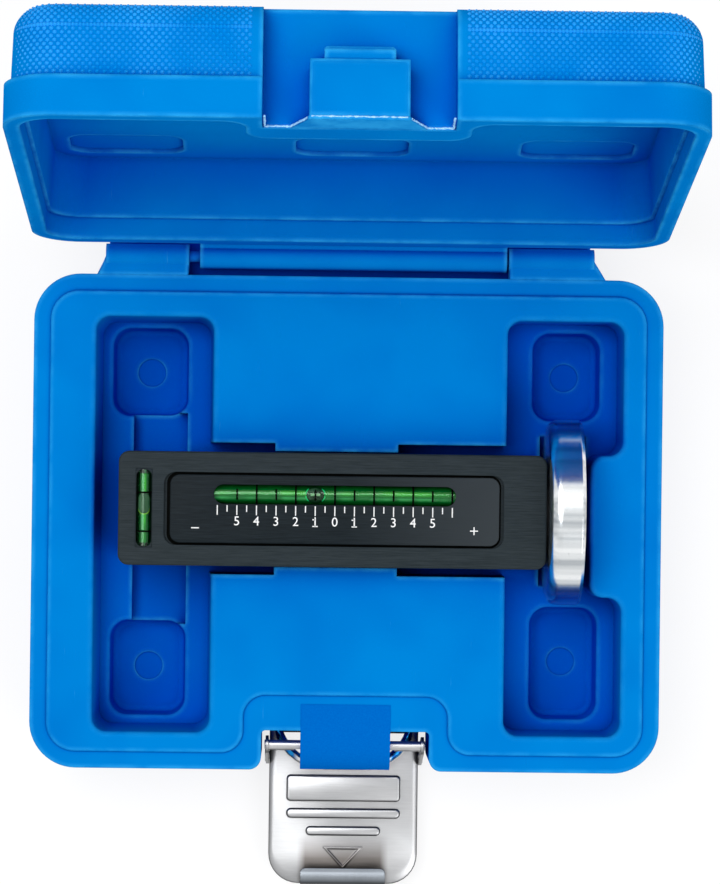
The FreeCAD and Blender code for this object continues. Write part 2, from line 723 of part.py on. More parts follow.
def make_lid():
    """Lid, drawn closed and then swung open about the hinge."""
    body = new_body("lid_shell")
    rim = "(base_tall + lid_gap)"
    shoulder = rim + " + band_tall"
    half = "(case_wide / 2 - band_proud)"
    deep = "(case_deep / 2 - band_proud)"

    walls = outline(body, "XY_Plane", shoulder, rectangle("-" + half, half, "-" + deep, deep))
    pad(body, walls, "lid_tall - band_tall", taper="-wall_draft")
    band = outline(body, "XY_Plane", shoulder,
                   rectangle("-case_wide / 2", "case_wide / 2", case_front, case_back))
    pad(body, band, "band_tall", down=True)

    inner = outline(body, "XY_Plane", rim, deck_outline("(deck_gap - lid_step_in)", "deck_gap"))
    pocket(body, inner, "lid_hollow", down=True, taper="-lid_draft")
    inside = corner_points(inner)
    round_edges(body, "lid_corner", beside([inside[0]] + inside[5:]))
    round_edges(body, "bay_round", beside(inside[1:5]))
    mouth = outline(body, "XY_Plane", rim, deck_outline("deck_gap", "deck_gap"))
    pocket(body, mouth, "lid_step", down=True)
    inside = corner_points(mouth)
    round_edges(body, "lid_corner", beside([inside[0]] + inside[5:]))
    round_edges(body, "bay_round", beside(inside[1:5]))

    round_edges(body, "case_corner - band_proud", beside(corner_points(walls)))
    round_edges(body, "case_corner", beside(corner_points(band)))
    round_edges(body, "lid_round", level_edges(size("base_tall") + size("lid_gap") + size("lid_tall")))
    recess = outline(body, "XY_Plane", rim,
                     rectangle(recess_left + " - lid_recess_side", recess_right + " + lid_recess_side",
                               case_front + " - cut_past", case_front + " + lid_recess_deep"))
    pocket(body, recess, "lid_tall", down=True)

    far = "hinge_back - panel_near"
    for place in ("-panel_pitch", "0", "panel_pitch"):
        panel = outline(body, "XY_Plane", rim + " + lid_hollow", rectangle(
            place + " - panel_wide / 2", place + " + panel_wide / 2",
            far + " - panel_deep", far))
        pocket(body, panel, "panel_sunk", down=True)
        round_edges(body, "panel_corner", beside(corner_points(panel)))

    for wide, low, high, back in (
            ("catch_wide", "catch_low", "catch_shoulder", "catch_back"),
            ("catch_neck_wide", "catch_shoulder", "catch_top", "catch_neck_back")):
        catch = outline(body, "XY_Plane", "%s + %s" % (rim, low), rectangle(
            "latch_middle - %s / 2" % wide, "latch_middle + %s / 2" % wide,
            "%s + %s" % (case_front, back), case_front + " + lid_recess_deep + cut_past"))
        pad(body, catch, "%s - %s" % (high, low))

    root = case_back + " - hinge_web_root"
    outside = "hinge_back + knuckle_wide / 2 - hinge_web_inset"
    web = outline(body, "YZ_Plane", "knuckle_mid_end", [
        (root, rim), (case_back + " + hinge_web_root", rim), ("hinge_back", "hinge_high"),
        (outside, "hinge_high"), (outside, rim), (case_back, rim + " + band_tall / 2"),
        (root, rim + " + band_tall / 2")])
    pad(body, web, "knuckle_mid_start - (knuckle_mid_end)")
    barrel = rounds(body, "YZ_Plane", "knuckle_mid_end",
                    [("hinge_back", "hinge_high", "knuckle_wide")])
    pad(body, barrel, "knuckle_mid_start - (knuckle_mid_end)")
    bore = rounds(body, "YZ_Plane", "knuckle_mid_end - cut_past",
                  [("hinge_back", "hinge_high", "pin_wide + 2 * pin_gap")])
    pocket(body, bore, "knuckle_mid_start - (knuckle_mid_end) + 2 * cut_past", down=True)

    body.Placement = Placement(Vector(), Rotation(Vector(-1, 0, 0), size("lid_open")),
                               Vector(0, size("hinge_back"), size("hinge_high")))
    return body


def make_hinge_pin():
    """Steel rod through the three knuckles."""
    keep("hinge_pin", cylinder("hinge_pin", "pin_wide", "knuckle_right_end - (knuckle_left_end) - 2",
                               "X", ("knuckle_left_end + 1", "hinge_back", "hinge_high")))


# ---------------------------------------------------------------- latch

def link_lean():
    """Angle of the hanging link from upright, and the drop from its rod to its rivets."""
    out = size("rod_front") - size("rivet_front")
    drop = math.sqrt(size("link_long") ** 2 - out ** 2)
    return math.degrees(math.atan2(out, drop)), drop


def make_link():
    """Pressed link: two side arms and a web with a cut-out for the strap, hung on its rod."""
    body = new_body("latch_links")
    arm = outline(body, "YZ_Plane", "0", [
        ("-arm_wide / 2", "arm_wide / 2"), ("-arm_wide / 2", "-link_long - arm_wide / 2"),
        ("arm_wide / 2", "-link_long - arm_wide / 2"), ("arm_wide / 2", "arm_wide / 2")])
    pad(body, arm, "2 * link_half", both=True)

    def arm_end(edge):
        box = edge.BoundBox
        return box.XLength > 2 * size("link_half") - 0.1

    round_edges(body, "arm_wide / 2 - round_spare", arm_end)
    inside = outline(body, "XZ_Plane", "0", rectangle(
        "-link_half + link_thick", "link_half - link_thick",
        "-link_long - arm_wide", "arm_wide"))
    pocket(body, inside, "2 * arm_wide", both=True)
    for side in ("-1", "1"):
        web = outline(body, "XZ_Plane", "-link_thick / 2", rectangle(
            side + " * web_in", side + " * (link_half - link_thick / 2)",
            "-web_far", "-web_near"))
        pad(body, web, "link_thick")
    eyes = rounds(body, "YZ_Plane", "-link_half - cut_past",
                  [("0", "0", "rod_wide"), ("0", "-link_long", "rivet_wide")])
    pocket(body, eyes, "2 * (link_half + cut_past)", down=True)

    lean, drop = link_lean()
    body.Placement = Placement(
        Vector(size("latch_middle"), -size("case_deep") / 2 + size("rod_front"), size("rod_high")),
        Rotation(Vector(-1, 0, 0), lean))
    return body


def make_link_rod():
    """Rod under the strap, on which the link swings."""
    half = "(link_half + rivet_head_thick)"
    keep("latch_link_rod", cylinder("latch_link_rod", "rod_wide", "2 * " + half, "X", (
        "latch_middle - " + half, "-case_deep / 2 + rod_front", "rod_high")))


def rivet_place():
    """Rivet axis at rest, in Y and Z."""
    lean, drop = link_lean()
    return -size("case_deep") / 2 + size("rivet_front"), size("rod_high") - drop


def make_rivets():
    """Two rivets that join the link's arms to the lever's sides."""
    back, high = rivet_place()
    pieces = []
    thick = size("rivet_head_thick")
    inner = size("lever_half") - size("lever_sheet") - size("rivet_gap") - thick
    outer = size("link_half")
    for side in (-1, 1):
        along = Vector(side, 0, 0)

        def disc(wide, start, long):
            place = Vector(size("latch_middle") + side * start, back, high)
            return Part.makeCylinder(wide / 2, long, place, along)

        shank = disc(size("rivet_wide"), inner, outer - inner)
        head = disc(size("rivet_head_wide"), outer, thick)
        pieces.append(shank.fuse(head).removeSplitter())
    made = doc.addObject("Part::Feature", "latch_rivets")
    made.Shape = Part.Compound(pieces)
    keep("latch_rivets", made)


def make_lever():
    """Stamped lever, drawn about its rivet axis with its ribs up and finger end forward."""
    body = new_body("latch_lever")
    low = "lever_top - lever_tall"
    sheet_low = "lever_top - lever_sheet"
    skirt = outline(body, "XY_Plane", low,
                    rectangle("-lever_half", "lever_half", "-lever_tip", "lever_back"))
    pad(body, skirt, "lever_tall")
    inside = outline(body, "XY_Plane", low, rectangle(
        "-lever_half + lever_sheet", "lever_half - lever_sheet",
        "-lever_tip + lever_sheet", "lever_back + cut_past"))
    pocket(body, inside, "lever_tall - lever_sheet", down=True)
    round_edges(body, "lever_corner - lever_sheet", beside(corner_points(inside)[:2]))
    round_edges(body, "lever_corner", beside(corner_points(skirt)[:2]))

    window = outline(body, "XY_Plane", "lever_top", [
        ("-window_half", "lever_back + cut_past"), ("-window_half", "window_slope"),
        ("-window_front_half", "-window_front"), ("window_front_half", "-window_front"),
        ("window_half", "window_slope"), ("window_half", "lever_back + cut_past")])
    pocket(body, window, "lever_sheet")
    round_edges(body, "window_slope", beside(corner_points(window)[2:4]))

    bar = rounds(body, "YZ_Plane", "-lever_half", [("hook_reach", "-hook_drop", "hook_wide")])
    pad(body, bar, "2 * lever_half")
    holes = rounds(body, "YZ_Plane", "-lever_half - cut_past",
                   [("0", "0", "rivet_wide + 2 * rivet_gap")])
    pocket(body, holes, "2 * (lever_half + cut_past)", down=True)

    tab = outline(body, "YZ_Plane", "0", [
        ("-lever_tip", sheet_low), ("-lever_tip", "lever_top + tab_shoulder"),
        ("-lever_tip + tab_round", "lever_top + tab_crown"),
        ("-lever_tip + tab_long", "lever_top + tab_lip"),
        ("-lever_tip + tab_long", "lever_top + tab_lip - lever_sheet"),
        ("-lever_tip + tab_round", "lever_top + tab_crown - lever_sheet"),
        ("-lever_tip + lever_sheet", "lever_top + tab_shoulder - lever_sheet / 2"),
        ("-lever_tip + lever_sheet", sheet_low)])
    pad(body, tab, "tab_wide", both=True)

    for long, at, deep in (("rib_long", "rib_broad_at", "rib_broad"),
                           ("rib_long", "rib_slim_at", "rib_slim"),
                           ("rib_short", "rib_last_at", "rib_last")):
        rib = outline(body, "XY_Plane", "lever_top", rectangle(
            "-%s / 2" % long, "%s / 2" % long, "-%s - %s / 2" % (at, deep), "-%s + %s / 2" % (at, deep)))
        pad(body, rib, "rib_rise")
    arrow = outline(body, "XY_Plane", "lever_top", [
        ("0", "-arrow_tip"), ("arrow_wide / 2", "-arrow_start"), ("-arrow_wide / 2", "-arrow_start")])
    pad(body, arrow, "rib_rise / 2")

    back, high = rivet_place()
    body.Placement = Placement(Vector(size("latch_middle"), back, high), Rotation())
    return body


# ---------------------------------------------------------------- gauge

bar_near = "(gauge_middle - gauge_square / 2)"
bar_top = "(gauge_high + gauge_square / 2)"
bar_right = "(gauge_left + gauge_long)"
vial_middle = "(gauge_middle + window_offset)"


def make_bar():
    """Square aluminium bar with its two scale recesses, vial grooves and magnet screw hole."""
    body = new_body("gauge_body")
    block = outline(body, "XY_Plane", "gauge_high - gauge_square / 2", rectangle(
        "gauge_left", bar_right, bar_near, "gauge_middle + gauge_square / 2"))
    pad(body, block, "gauge_square")
    round_edges(body, "gauge_corner", beside(corner_points(block)))
    half = size("gauge_square") / 2
    ends = (size("gauge_high") - half, size("gauge_high") + half)
    round_edges(body, "gauge_edge",
                lambda edge: level_edges(ends[0])(edge) or level_edges(ends[1])(edge))

    recess = outline(body, "XY_Plane", bar_top, rectangle(
        "plate_recess_middle - plate_recess_long / 2", "plate_recess_middle + plate_recess_long / 2",
        "gauge_middle - plate_recess_tall / 2", "gauge_middle + plate_recess_tall / 2"))
    pocket(body, recess, "plate_recess_deep")
    round_edges(body, "plate_recess_corner", beside(corner_points(recess)))
    groove_left = "scale_zero - vial_long / 2 - vial_gap"
    groove = outline(body, "XY_Plane", bar_top, rectangle(
        groove_left, "scale_zero + vial_long / 2 + vial_gap",
        vial_middle + " - vial_wide / 2 - vial_gap", vial_middle + " + vial_wide / 2 + vial_gap"))
    pocket(body, groove, "vial_sunk + vial_wide / 2 + vial_gap")

    cross = outline(body, "XY_Plane", bar_top, rectangle(
        "cross_middle - cross_wide / 2 - vial_gap", "cross_middle + cross_wide / 2 + vial_gap",
        "gauge_middle - cross_long / 2 - vial_gap", "gauge_middle + cross_long / 2 + vial_gap"))
    pocket(body, cross, "cross_sunk + cross_wide / 2 + vial_gap")

    side_recess = outline(body, "XZ_Plane", "-" + bar_near, rectangle(
        "plate_recess_middle - plate_recess_long / 2", "plate_recess_middle + plate_recess_long / 2",
        "gauge_high - plate_recess_tall / 2", "gauge_high + plate_recess_tall / 2"))
    pocket(body, side_recess, "plate_recess_deep")
    cavity = outline(body, "XZ_Plane", "-" + bar_near, rectangle(
        "scale_zero - caster_cavity_long / 2", "scale_zero + caster_cavity_long / 2",
        "gauge_high - caster_cavity_tall / 2", "gauge_high + caster_cavity_tall / 2"))
    pocket(body, cavity, "caster_cavity_deep")

    screw = rounds(body, "YZ_Plane", bar_right, [("gauge_middle", "gauge_high", "magnet_screw_wide")])
    pocket(body, screw, "magnet_screw_long")
    pivot = rounds(body, "XY_Plane", "gauge_high - gauge_square / 2",
                   [(pivot_x, pivot_y, "pivot_wide")])
    pocket(body, pivot, pivot_long, down=True)
    return body


def plate(name, role, height, middle, opening):
    """Scale plate with its long window, in the recess of one face."""
    body = new_body(name)
    half_long = "(plate_recess_long / 2 - plate_end_gap)"
    half_tall = "(plate_recess_tall / 2 - plate_gap)"
    shape = outline(body, role, height, rectangle(
        "plate_recess_middle - " + half_long, "plate_recess_middle + " + half_long,
        middle + " - " + half_tall, middle + " + " + half_tall))
    pad(body, shape, "plate_thick")
    slot = outline(body, role, height + " + plate_thick", rectangle(
        "scale_zero - window_long / 2", "scale_zero + window_long / 2",
        opening + " - window_tall / 2", opening + " + window_tall / 2"))
    pocket(body, slot, "plate_thick")
    return body


def edges_along(axis):
    """Test for straight edges along one axis."""
    def wanted(edge):
        return abs(direction(edge).dot(axis)) > 0.99
    return wanted


def make_camber_plate():
    """Scale plate on the bar's top."""
    body = plate("camber_plate", "XY_Plane", bar_top + " - plate_recess_deep", "gauge_middle",
                 vial_middle)
    round_edges(body, "window_tall / 2 - round_spare", edges_along(Vector(0, 0, 1)))


def make_caster_plate():
    """Scale plate on the bar's near side, with a hole for the adjusting screw."""
    body = plate("caster_plate", "XZ_Plane", "-(%s + plate_recess_deep)" % bar_near, "gauge_high",
                 "gauge_high")
    round_edges(body, "window_tall / 2 - round_spare", edges_along(Vector(0, 1, 0)))
    hole = rounds(body, "XZ_Plane", "-(%s + plate_recess_deep) + plate_thick" % bar_near,
                  [(screw_x, "gauge_high", "screw_head_wide + 2 * vial_gap")])
    pocket(body, hole, "plate_thick")


def capsule(name, wide, length, axis, middle):
    """Round-ended bar about a middle point, for bubbles and the room they take."""
    straight = "(%s - (%s))" % (length, wide)
    first = list(middle)
    last = list(middle)
    index = "XYZ".index(axis)
    first[index] = "%s - %s / 2" % (middle[index], straight)
    last[index] = "%s + %s / 2" % (middle[index], straight)
    return fused(name, [cylinder(name + "_run", wide, straight, axis, first),
                        ball(name + "_start", wide, first), ball(name + "_end", wide, last)])


def make_vial(name, wide, bore, length, end, axis, middle, bubble):
    """Acrylic tube, the liquid in it and the bubble in the liquid."""
    index = "XYZ".index(axis)

    def start(total):
        place = list(middle)
        place[index] = "%s - (%s) / 2" % (middle[index], total)
        return place

    inner = "(%s - 2 * %s)" % (length, end)
    tube = cut(name + "_vial", cylinder(name + "_vial_outside", wide, length, axis, start(length)),
               cylinder(name + "_vial_bore", bore, inner, axis, start(inner)))
    keep(name + "_vial", tube)
    run = inner + " - 2 * liquid_gap"
    full = cylinder(name + "_liquid_run", bore + " - 2 * liquid_gap", run, axis, start(run))
    place = list(middle)
    place[index] = bubble["at"]
    lift = bubble["lift"]
    place[lift] = "%s + %s" % (middle[lift], bubble["up"])
    room = capsule(name + "_room", bubble["wide"] + " + 2 * bubble_gap",
                   bubble["long"] + " + 2 * bubble_gap", axis, place)
    keep(name + "_liquid", cut(name + "_liquid", full, room))
    keep(name + "_bubble", capsule(name + "_bubble", bubble["wide"], bubble["long"], axis, place))


def make_vials():
    """Long level on top, short level across the bar, long level on the near side."""
    long_bubble = {"wide": "bubble_wide", "long": "bubble_long"}
    make_vial("camber", "vial_wide", "vial_bore", "vial_long", "vial_end", "X",
              ("scale_zero", vial_middle, bar_top + " - vial_sunk"),
              dict(long_bubble, at="scale_zero - scale_step", lift=2, up="bubble_up"))
    make_vial("cross", "cross_wide", "cross_bore", "cross_long", "cross_end", "Y",
              ("cross_middle", "gauge_middle", bar_top + " - cross_sunk"),
              {"wide": "cross_bubble_wide", "long": "cross_bubble_long",
               "at": "gauge_middle + cross_bubble_at", "lift": 2, "up": "cross_bubble_up"})
    make_vial("caster", "vial_wide", "vial_bore", "caster_vial_long", "vial_end", "X",
              ("scale_zero", bar_near + " + caster_vial_sunk", "gauge_high"),
              dict(long_bubble, at="scale_zero", lift=1, up="-bubble_up"))


# The caster level rides in a carrier that turns about a pin at its left end; the
# adjusting screw at its right end draws it in against a rubber cushion.
carrier_left = "(scale_zero - carrier_long / 2)"
carrier_near = "(%s + carrier_sunk)" % bar_near
pivot_x = carrier_left + " + carrier_pivot_in"
pivot_y = "(%s + carrier_sunk + carrier_thick / 2)" % bar_near
pivot_long = "gauge_square / 2 + caster_cavity_tall / 2 + pivot_sink"
screw_x = "(scale_zero + carrier_long / 2 - screw_in)"


def make_carrier():
    """Carrier of the caster level."""
    body = new_body("caster_carrier")
    block = outline(body, "XY_Plane", "gauge_high - carrier_tall / 2", rectangle(
        carrier_left, "scale_zero + carrier_long / 2", carrier_near,
        carrier_near + " + carrier_thick"))
    pad(body, block, "carrier_tall")
    groove = outline(body, "XY_Plane", "gauge_high + vial_wide / 2 + vial_gap", rectangle(
        "scale_zero - caster_vial_long / 2 - vial_gap", "scale_zero + caster_vial_long / 2 + vial_gap",
        carrier_near + " - cut_past",
        bar_near + " + caster_vial_sunk + vial_wide / 2 + vial_gap"))
    pocket(body, groove, "vial_wide + 2 * vial_gap")
    pivot = rounds(body, "XY_Plane", "gauge_high - carrier_tall / 2 - cut_past",
                   [(pivot_x, pivot_y, "pivot_wide + 2 * pivot_gap")])
    pocket(body, pivot, "carrier_tall + 2 * cut_past", down=True)
    screw = rounds(body, "XZ_Plane", "-(%s) + cut_past" % carrier_near,
                   [(screw_x, "gauge_high", "screw_wide + 2 * screw_gap")])
    pocket(body, screw, "carrier_thick + 2 * cut_past")


def make_caster_fittings():
    """Pivot pin, adjusting screw and cushion of the carrier."""
    keep("caster_pivot", cylinder("caster_pivot", "pivot_wide", pivot_long, "Z",
                                  (pivot_x, pivot_y, "gauge_high - gauge_square / 2")))
    head_at = bar_near + " + plate_recess_deep - plate_thick"
    shank = cylinder("caster_screw_shank", "screw_wide",
                     "caster_cavity_deep - plate_recess_deep + plate_thick", "Y",
                     (screw_x, head_at, "gauge_high"))
    head = cylinder("caster_screw_head", "screw_head_wide", "screw_head_thick", "Y",
                    (screw_x, head_at, "gauge_high"))
    keep("caster_screw", fused("caster_screw", [shank, head]))
    make_cushion()


def make_cushion():
    """Rubber sleeve round the adjusting screw, between the carrier and the cavity's floor."""
    long = "(caster_cavity_deep - carrier_sunk - carrier_thick - cushion_gap)"
    place = (screw_x, "%s + caster_cavity_deep - %s" % (bar_near, long), "gauge_high")
    keep("caster_cushion", cut("caster_cushion",
                               cylinder("caster_cushion_outside", "cushion_wide", long, "Y", place),
                               cylinder("caster_cushion_hole", "screw_wide + 2 * vial_gap", long,
                                        "Y", place)))


def make_magnet():
    """Spacer, chromed cup, ring magnet, pole piece and the screw that holds them."""
    spacer_start = bar_right
    cup_start = "(%s + spacer_thick)" % bar_right
    face = "(%s + magnet_thick)" % cup_start
    axis = ("gauge_middle", "gauge_high")
    hole = cylinder("magnet_hole", "magnet_screw_wide", "spacer_thick + 2 * cut_past", "X",
                    (spacer_start + " - cut_past",) + axis)
    disc = cylinder("magnet_spacer_disc", "spacer_wide", "spacer_thick", "X", (spacer_start,) + axis)
    keep("magnet_spacer", cut("magnet_spacer", disc, hole))

    body = new_body("magnet_cup")
    round_face = rounds(body, "YZ_Plane", cup_start, [axis + ("magnet_wide",)])
    pad(body, round_face, "magnet_thick")
    start_x = size("gauge_left") + size("gauge_long") + size("spacer_thick")
    face_x = start_x + size("magnet_thick")
    round_edges(body, "cup_shoulder", lambda edge: abs(edge.BoundBox.Center.x - start_x) < 0.01)
    round_edges(body, "cup_chamfer", lambda edge: (
        edge.BoundBox.XLength < 0.01 and abs(edge.BoundBox.Center.x - face_x) < 0.01), "Chamfer")
    inside = rounds(body, "YZ_Plane", face, [axis + ("magnet_wide - 2 * cup_wall",)])
    pocket(body, inside, "magnet_thick - cup_back")
    centre = rounds(body, "YZ_Plane", face, [axis + ("magnet_screw_wide",)])
    pocket(body, centre, "magnet_thick + cut_past")

    ring_thick = "(magnet_thick - cup_back - ring_sunk)"
    ring = cylinder("magnet_ring_outside", "magnet_wide - 2 * cup_wall - 2 * ring_gap", ring_thick,
                    "X", (cup_start + " + cup_back",) + axis)
    eye = cylinder("magnet_ring_eye", "ring_bore", ring_thick, "X",
                   (cup_start + " + cup_back",) + axis)
    keep("magnet_ring", cut("magnet_ring", ring, eye))

    pole = new_body("magnet_pole")
    round_pole = rounds(pole, "YZ_Plane", cup_start + " + cup_back", [axis + ("pole_wide",)])
    pad(pole, round_pole, "magnet_thick - cup_back")
    bore = rounds(pole, "YZ_Plane", face, [axis + ("magnet_screw_wide",)])
    pocket(pole, bore, "magnet_thick")
    sink = rounds(pole, "YZ_Plane", face, [axis + ("magnet_screw_head",)])
    pocket(pole, sink, "magnet_screw_sink")

    reach = "magnet_screw_long - magnet_screw_end"
    top = "spacer_thick + magnet_thick - magnet_screw_low"
    shank = cylinder("magnet_screw_shank", "magnet_screw_wide - 2 * thread_gap",
                     "%s + %s" % (reach, top), "X", ("%s - (%s)" % (bar_right, reach),) + axis)
    head = cylinder("magnet_screw_top", "magnet_screw_head - 4 * thread_gap",
                    "magnet_screw_sink - magnet_screw_low", "X",
                    (face + " - magnet_screw_sink",) + axis)
    keep("magnet_screw", fused("magnet_screw", [shank, head]))


# ---------------------------------------------------------------- build and write

def check_document():
    """Stop if any object failed, or any sub-part is empty or broken."""
    for made in doc.Objects:
        for word in ("Invalid", "Error"):
            if word in made.State:
                raise ValueError("%s is %s" % (made.Label, word))
    for name, made in nodes.items():
        if made.Shape.isNull() or not made.Shape.isValid() or made.Shape.Volume <= 0:
            raise ValueError("%s has no sound solid" % name)


def main():
    fill_sheet()
    make_base()
    make_lid()
    make_hinge_pin()
    make_link()
    make_link_rod()
    make_rivets()
    make_lever()
    make_bar()
    make_camber_plate()
    make_caster_plate()
    make_vials()
    make_carrier()
    make_caster_fittings()
    make_magnet()
    doc.recompute()
    check_document()
    os.makedirs("parts", exist_ok=True)
    for name, made in nodes.items():
        made.Shape.exportStep("parts/%s.step" % name)
        print("%-18s %10.1f mm3, %d solid(s)" % (name, made.Shape.Volume, len(made.Shape.Solids)))


main()
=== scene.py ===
import math
import bmesh
import bpy
from mathutils import Matrix, Vector


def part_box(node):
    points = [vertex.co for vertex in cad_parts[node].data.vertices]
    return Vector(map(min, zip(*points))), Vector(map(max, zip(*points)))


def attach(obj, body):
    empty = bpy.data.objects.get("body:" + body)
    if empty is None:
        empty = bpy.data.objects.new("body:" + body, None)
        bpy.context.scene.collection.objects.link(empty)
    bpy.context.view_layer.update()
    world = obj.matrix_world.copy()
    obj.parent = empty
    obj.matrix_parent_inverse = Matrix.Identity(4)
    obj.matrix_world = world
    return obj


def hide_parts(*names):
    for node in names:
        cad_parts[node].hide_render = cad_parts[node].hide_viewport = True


# A magnetic camber and caster gauge in its moulded carry case. Sizes in the
# dictionaries are millimetres, as in the CAD; meshes are made in metres.

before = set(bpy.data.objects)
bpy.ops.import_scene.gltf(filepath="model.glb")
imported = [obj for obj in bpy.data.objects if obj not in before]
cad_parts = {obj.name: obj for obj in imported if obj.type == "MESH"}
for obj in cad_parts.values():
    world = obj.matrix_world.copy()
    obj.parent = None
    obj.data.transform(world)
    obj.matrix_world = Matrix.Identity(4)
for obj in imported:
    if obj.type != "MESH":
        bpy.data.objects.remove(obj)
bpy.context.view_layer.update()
bpy.ops.object.select_all(action="DESELECT")
mm = 0.001
print("frame loaded:", len(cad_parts), "CAD nodes")


# camera and stage

viewpoint = {
    "place": (-13.4, 20.5, 1145),
    "aim": (3.4, 22.9, 35),
    "lens": 161.7,
    "sensor": 36,
    "roll": 0.0126,  # slope of the camera's level against the case's front
}


def addObject(name, data):
    thing = bpy.data.objects.new(name, data)
    bpy.context.scene.collection.objects.link(thing)
    return thing


def makeCamera():
    data = bpy.data.cameras.new("viewCamera")
    data.sensor_fit = "VERTICAL"
    data.sensor_height = viewpoint["sensor"]
    data.lens = viewpoint["lens"]
    data.clip_start = 0.01
    data.clip_end = 20
    camera = addObject("viewCamera", data)
    place = Vector(viewpoint["place"]) * mm
    back = (place - Vector(viewpoint["aim"]) * mm).normalized()
    right = Vector((1, viewpoint["roll"], 0))
    right = (right - back * right.dot(back)).normalized()
    turn = Matrix((right, back.cross(right), back)).transposed().to_4x4()
    camera.matrix_world = Matrix.Translation(place) @ turn
    bpy.context.scene.camera = camera


def addNode(tree, kind, values, output=0, **options):
    # values go to sockets by name or number; another node's output is wired in
    node = tree.nodes.new("ShaderNode" + kind)
    for name, value in options.items():
        setattr(node, name, value)
    for name, value in values.items():
        socket = node.inputs[name]
        if isinstance(value, bpy.types.NodeSocket):
            tree.links.new(value, socket)
        else:
            socket.default_value = (*value, 1) if socket.type == "RGBA" else value
    return node.outputs[output] if node.outputs else node


def calculate(tree, operation, *terms):
    return addNode(tree, "Math", dict(enumerate(terms)), operation=operation)


def seenDirectly(tree):
    # 1 where a ray comes from the camera, a mirror-like surface or through glass
    path = tree.nodes.new("ShaderNodeLightPath").outputs
    first = calculate(tree, "MAXIMUM", path["Is Camera Ray"], path["Is Glossy Ray"])
    return calculate(tree, "MAXIMUM", first, path["Is Transmission Ray"])


finishes = {}  # every material, by its name


def newFinish(name):
    material = bpy.data.materials.new(name)
    material.use_nodes = True
    material.node_tree.nodes.clear()
    finishes[name] = material
    return material.node_tree


lighting = {
    "worldStrength": 0.62,
    "floorSize": 4000,
    "floorColor": (0.9, 0.9, 0.9),
    "floorLift": 0.8,  # share of plain white in the floor as seen
    "lamps": (("keyLamp", 13, (-420, 260, 1350), 900),  # name, power, place and size
              ("fillLamp", 5, (650, -520, 900), 700)),
    "lampAim": (0, 0.02, 0.04),  # in metres
}


def makeWorld():
    world = bpy.data.worlds.new("studioWorld")
    bpy.context.scene.world = world
    world.use_nodes = True
    tree = world.node_tree
    tree.nodes.clear()
    dim = addNode(tree, "Background", {"Color": (1, 1, 1), "Strength": lighting["worldStrength"]})
    white = addNode(tree, "Background", {"Color": (1, 1, 1), "Strength": 1.0})
    mix = addNode(tree, "MixShader", {0: seenDirectly(tree), 1: dim, 2: white})
    addNode(tree, "OutputWorld", {"Surface": mix})


def makeFloor():
    bpy.ops.mesh.primitive_plane_add(size=lighting["floorSize"] * mm)
    floor = bpy.context.object
    floor.name = "studioFloor"
    tree = newFinish("floorPaper")
    paper = addNode(tree, "BsdfDiffuse", {"Color": lighting["floorColor"]})
    white = addNode(tree, "Emission", {"Color": (1, 1, 1), "Strength": 1.0})
    share = calculate(tree, "MULTIPLY", seenDirectly(tree), lighting["floorLift"])
    mix = addNode(tree, "MixShader", {0: share, 1: paper, 2: white})
    addNode(tree, "OutputMaterial", {"Surface": mix})
    floor.data.materials.append(finishes["floorPaper"])
    floor.select_set(False)


def makeLamp(name, power, place, size):
    data = bpy.data.lights.new(name, "AREA")
    data.shape = "SQUARE"
    data.size = size * mm
    data.energy = power
    at = Vector(place) * mm
    toward = Vector(lighting["lampAim"]) - at
    turn = toward.to_track_quat("-Z", "Y").to_matrix().to_4x4()
    addObject(name, data).matrix_world = Matrix.Translation(at) @ turn


bpy.context.scene.view_settings.view_transform = "Standard"
makeCamera()
makeWorld()
makeFloor()
for lamp in lighting["lamps"]:
    makeLamp(*lamp)
print("camera, floor and lamps placed")


# parts of the materials

def objectPoint(tree, scale=(1, 1, 1), turn=(0, 0, 0)):
    # object coordinates in millimetres, stretched by scale
    where = addNode(tree, "TexCoord", {}, "Object")
    return addNode(tree, "Mapping", {"Vector": where, "Scale": [1000 * s for s in scale], "Rotation": turn})


def coordinate(tree, axis):
    return addNode(tree, "SeparateXYZ", {"Vector": objectPoint(tree)}, axis)


def noise(tree, scale, detail=3, roughness=0.55, stretch=(1, 1, 1), turn=(0, 0, 0)):
    return addNode(tree, "TexNoise", {"Vector": objectPoint(tree, stretch, turn), "Scale": scale,
                                      "Detail": detail, "Roughness": roughness}, "Fac")


def lined(tree, along, share, scale):
    # noise drawn out into fine lines along one axis
    return noise(tree, scale, 4, 0.7, [share if axis == along else 1.0 for axis in "XYZ"])


def ramp(tree, share, *stops):
    # each stop is a place and a colour, or a place and a grey
    node = tree.nodes.new("ShaderNodeValToRGB")
    elements = node.color_ramp.elements
    while len(elements) < len(stops):
        elements.new(0.5)
    for element, (position, color) in zip(elements, stops):
        element.position = position
        element.color = (*color, 1) if isinstance(color, tuple) else (color, color, color, 1)
    tree.links.new(share, node.inputs["Fac"])
    return node.outputs["Color"]


def span(tree, share, low, high, start=0.0, end=1.0):
    # low at start, high at end
    return addNode(tree, "MapRange", {"Value": share, "To Min": low, "To Max": high, "From Min": start,
                                      "From Max": end})


def mixColor(tree, share, first, second, blend="MIX"):
    return addNode(tree, "Mix", {0: share, 6: first, 7: second}, 2, data_type="RGBA", blend_type=blend)


def multiply(tree, color, *layers):
    for layer in layers:
        color = mixColor(tree, 1.0, color, layer, "MULTIPLY")
    return color


def crevice(tree, reach, **options):
    # 1 in the open, less where other surfaces come within reach
    return addNode(tree, "AmbientOcclusion", {"Distance": reach * mm}, "AO", samples=5, **options)


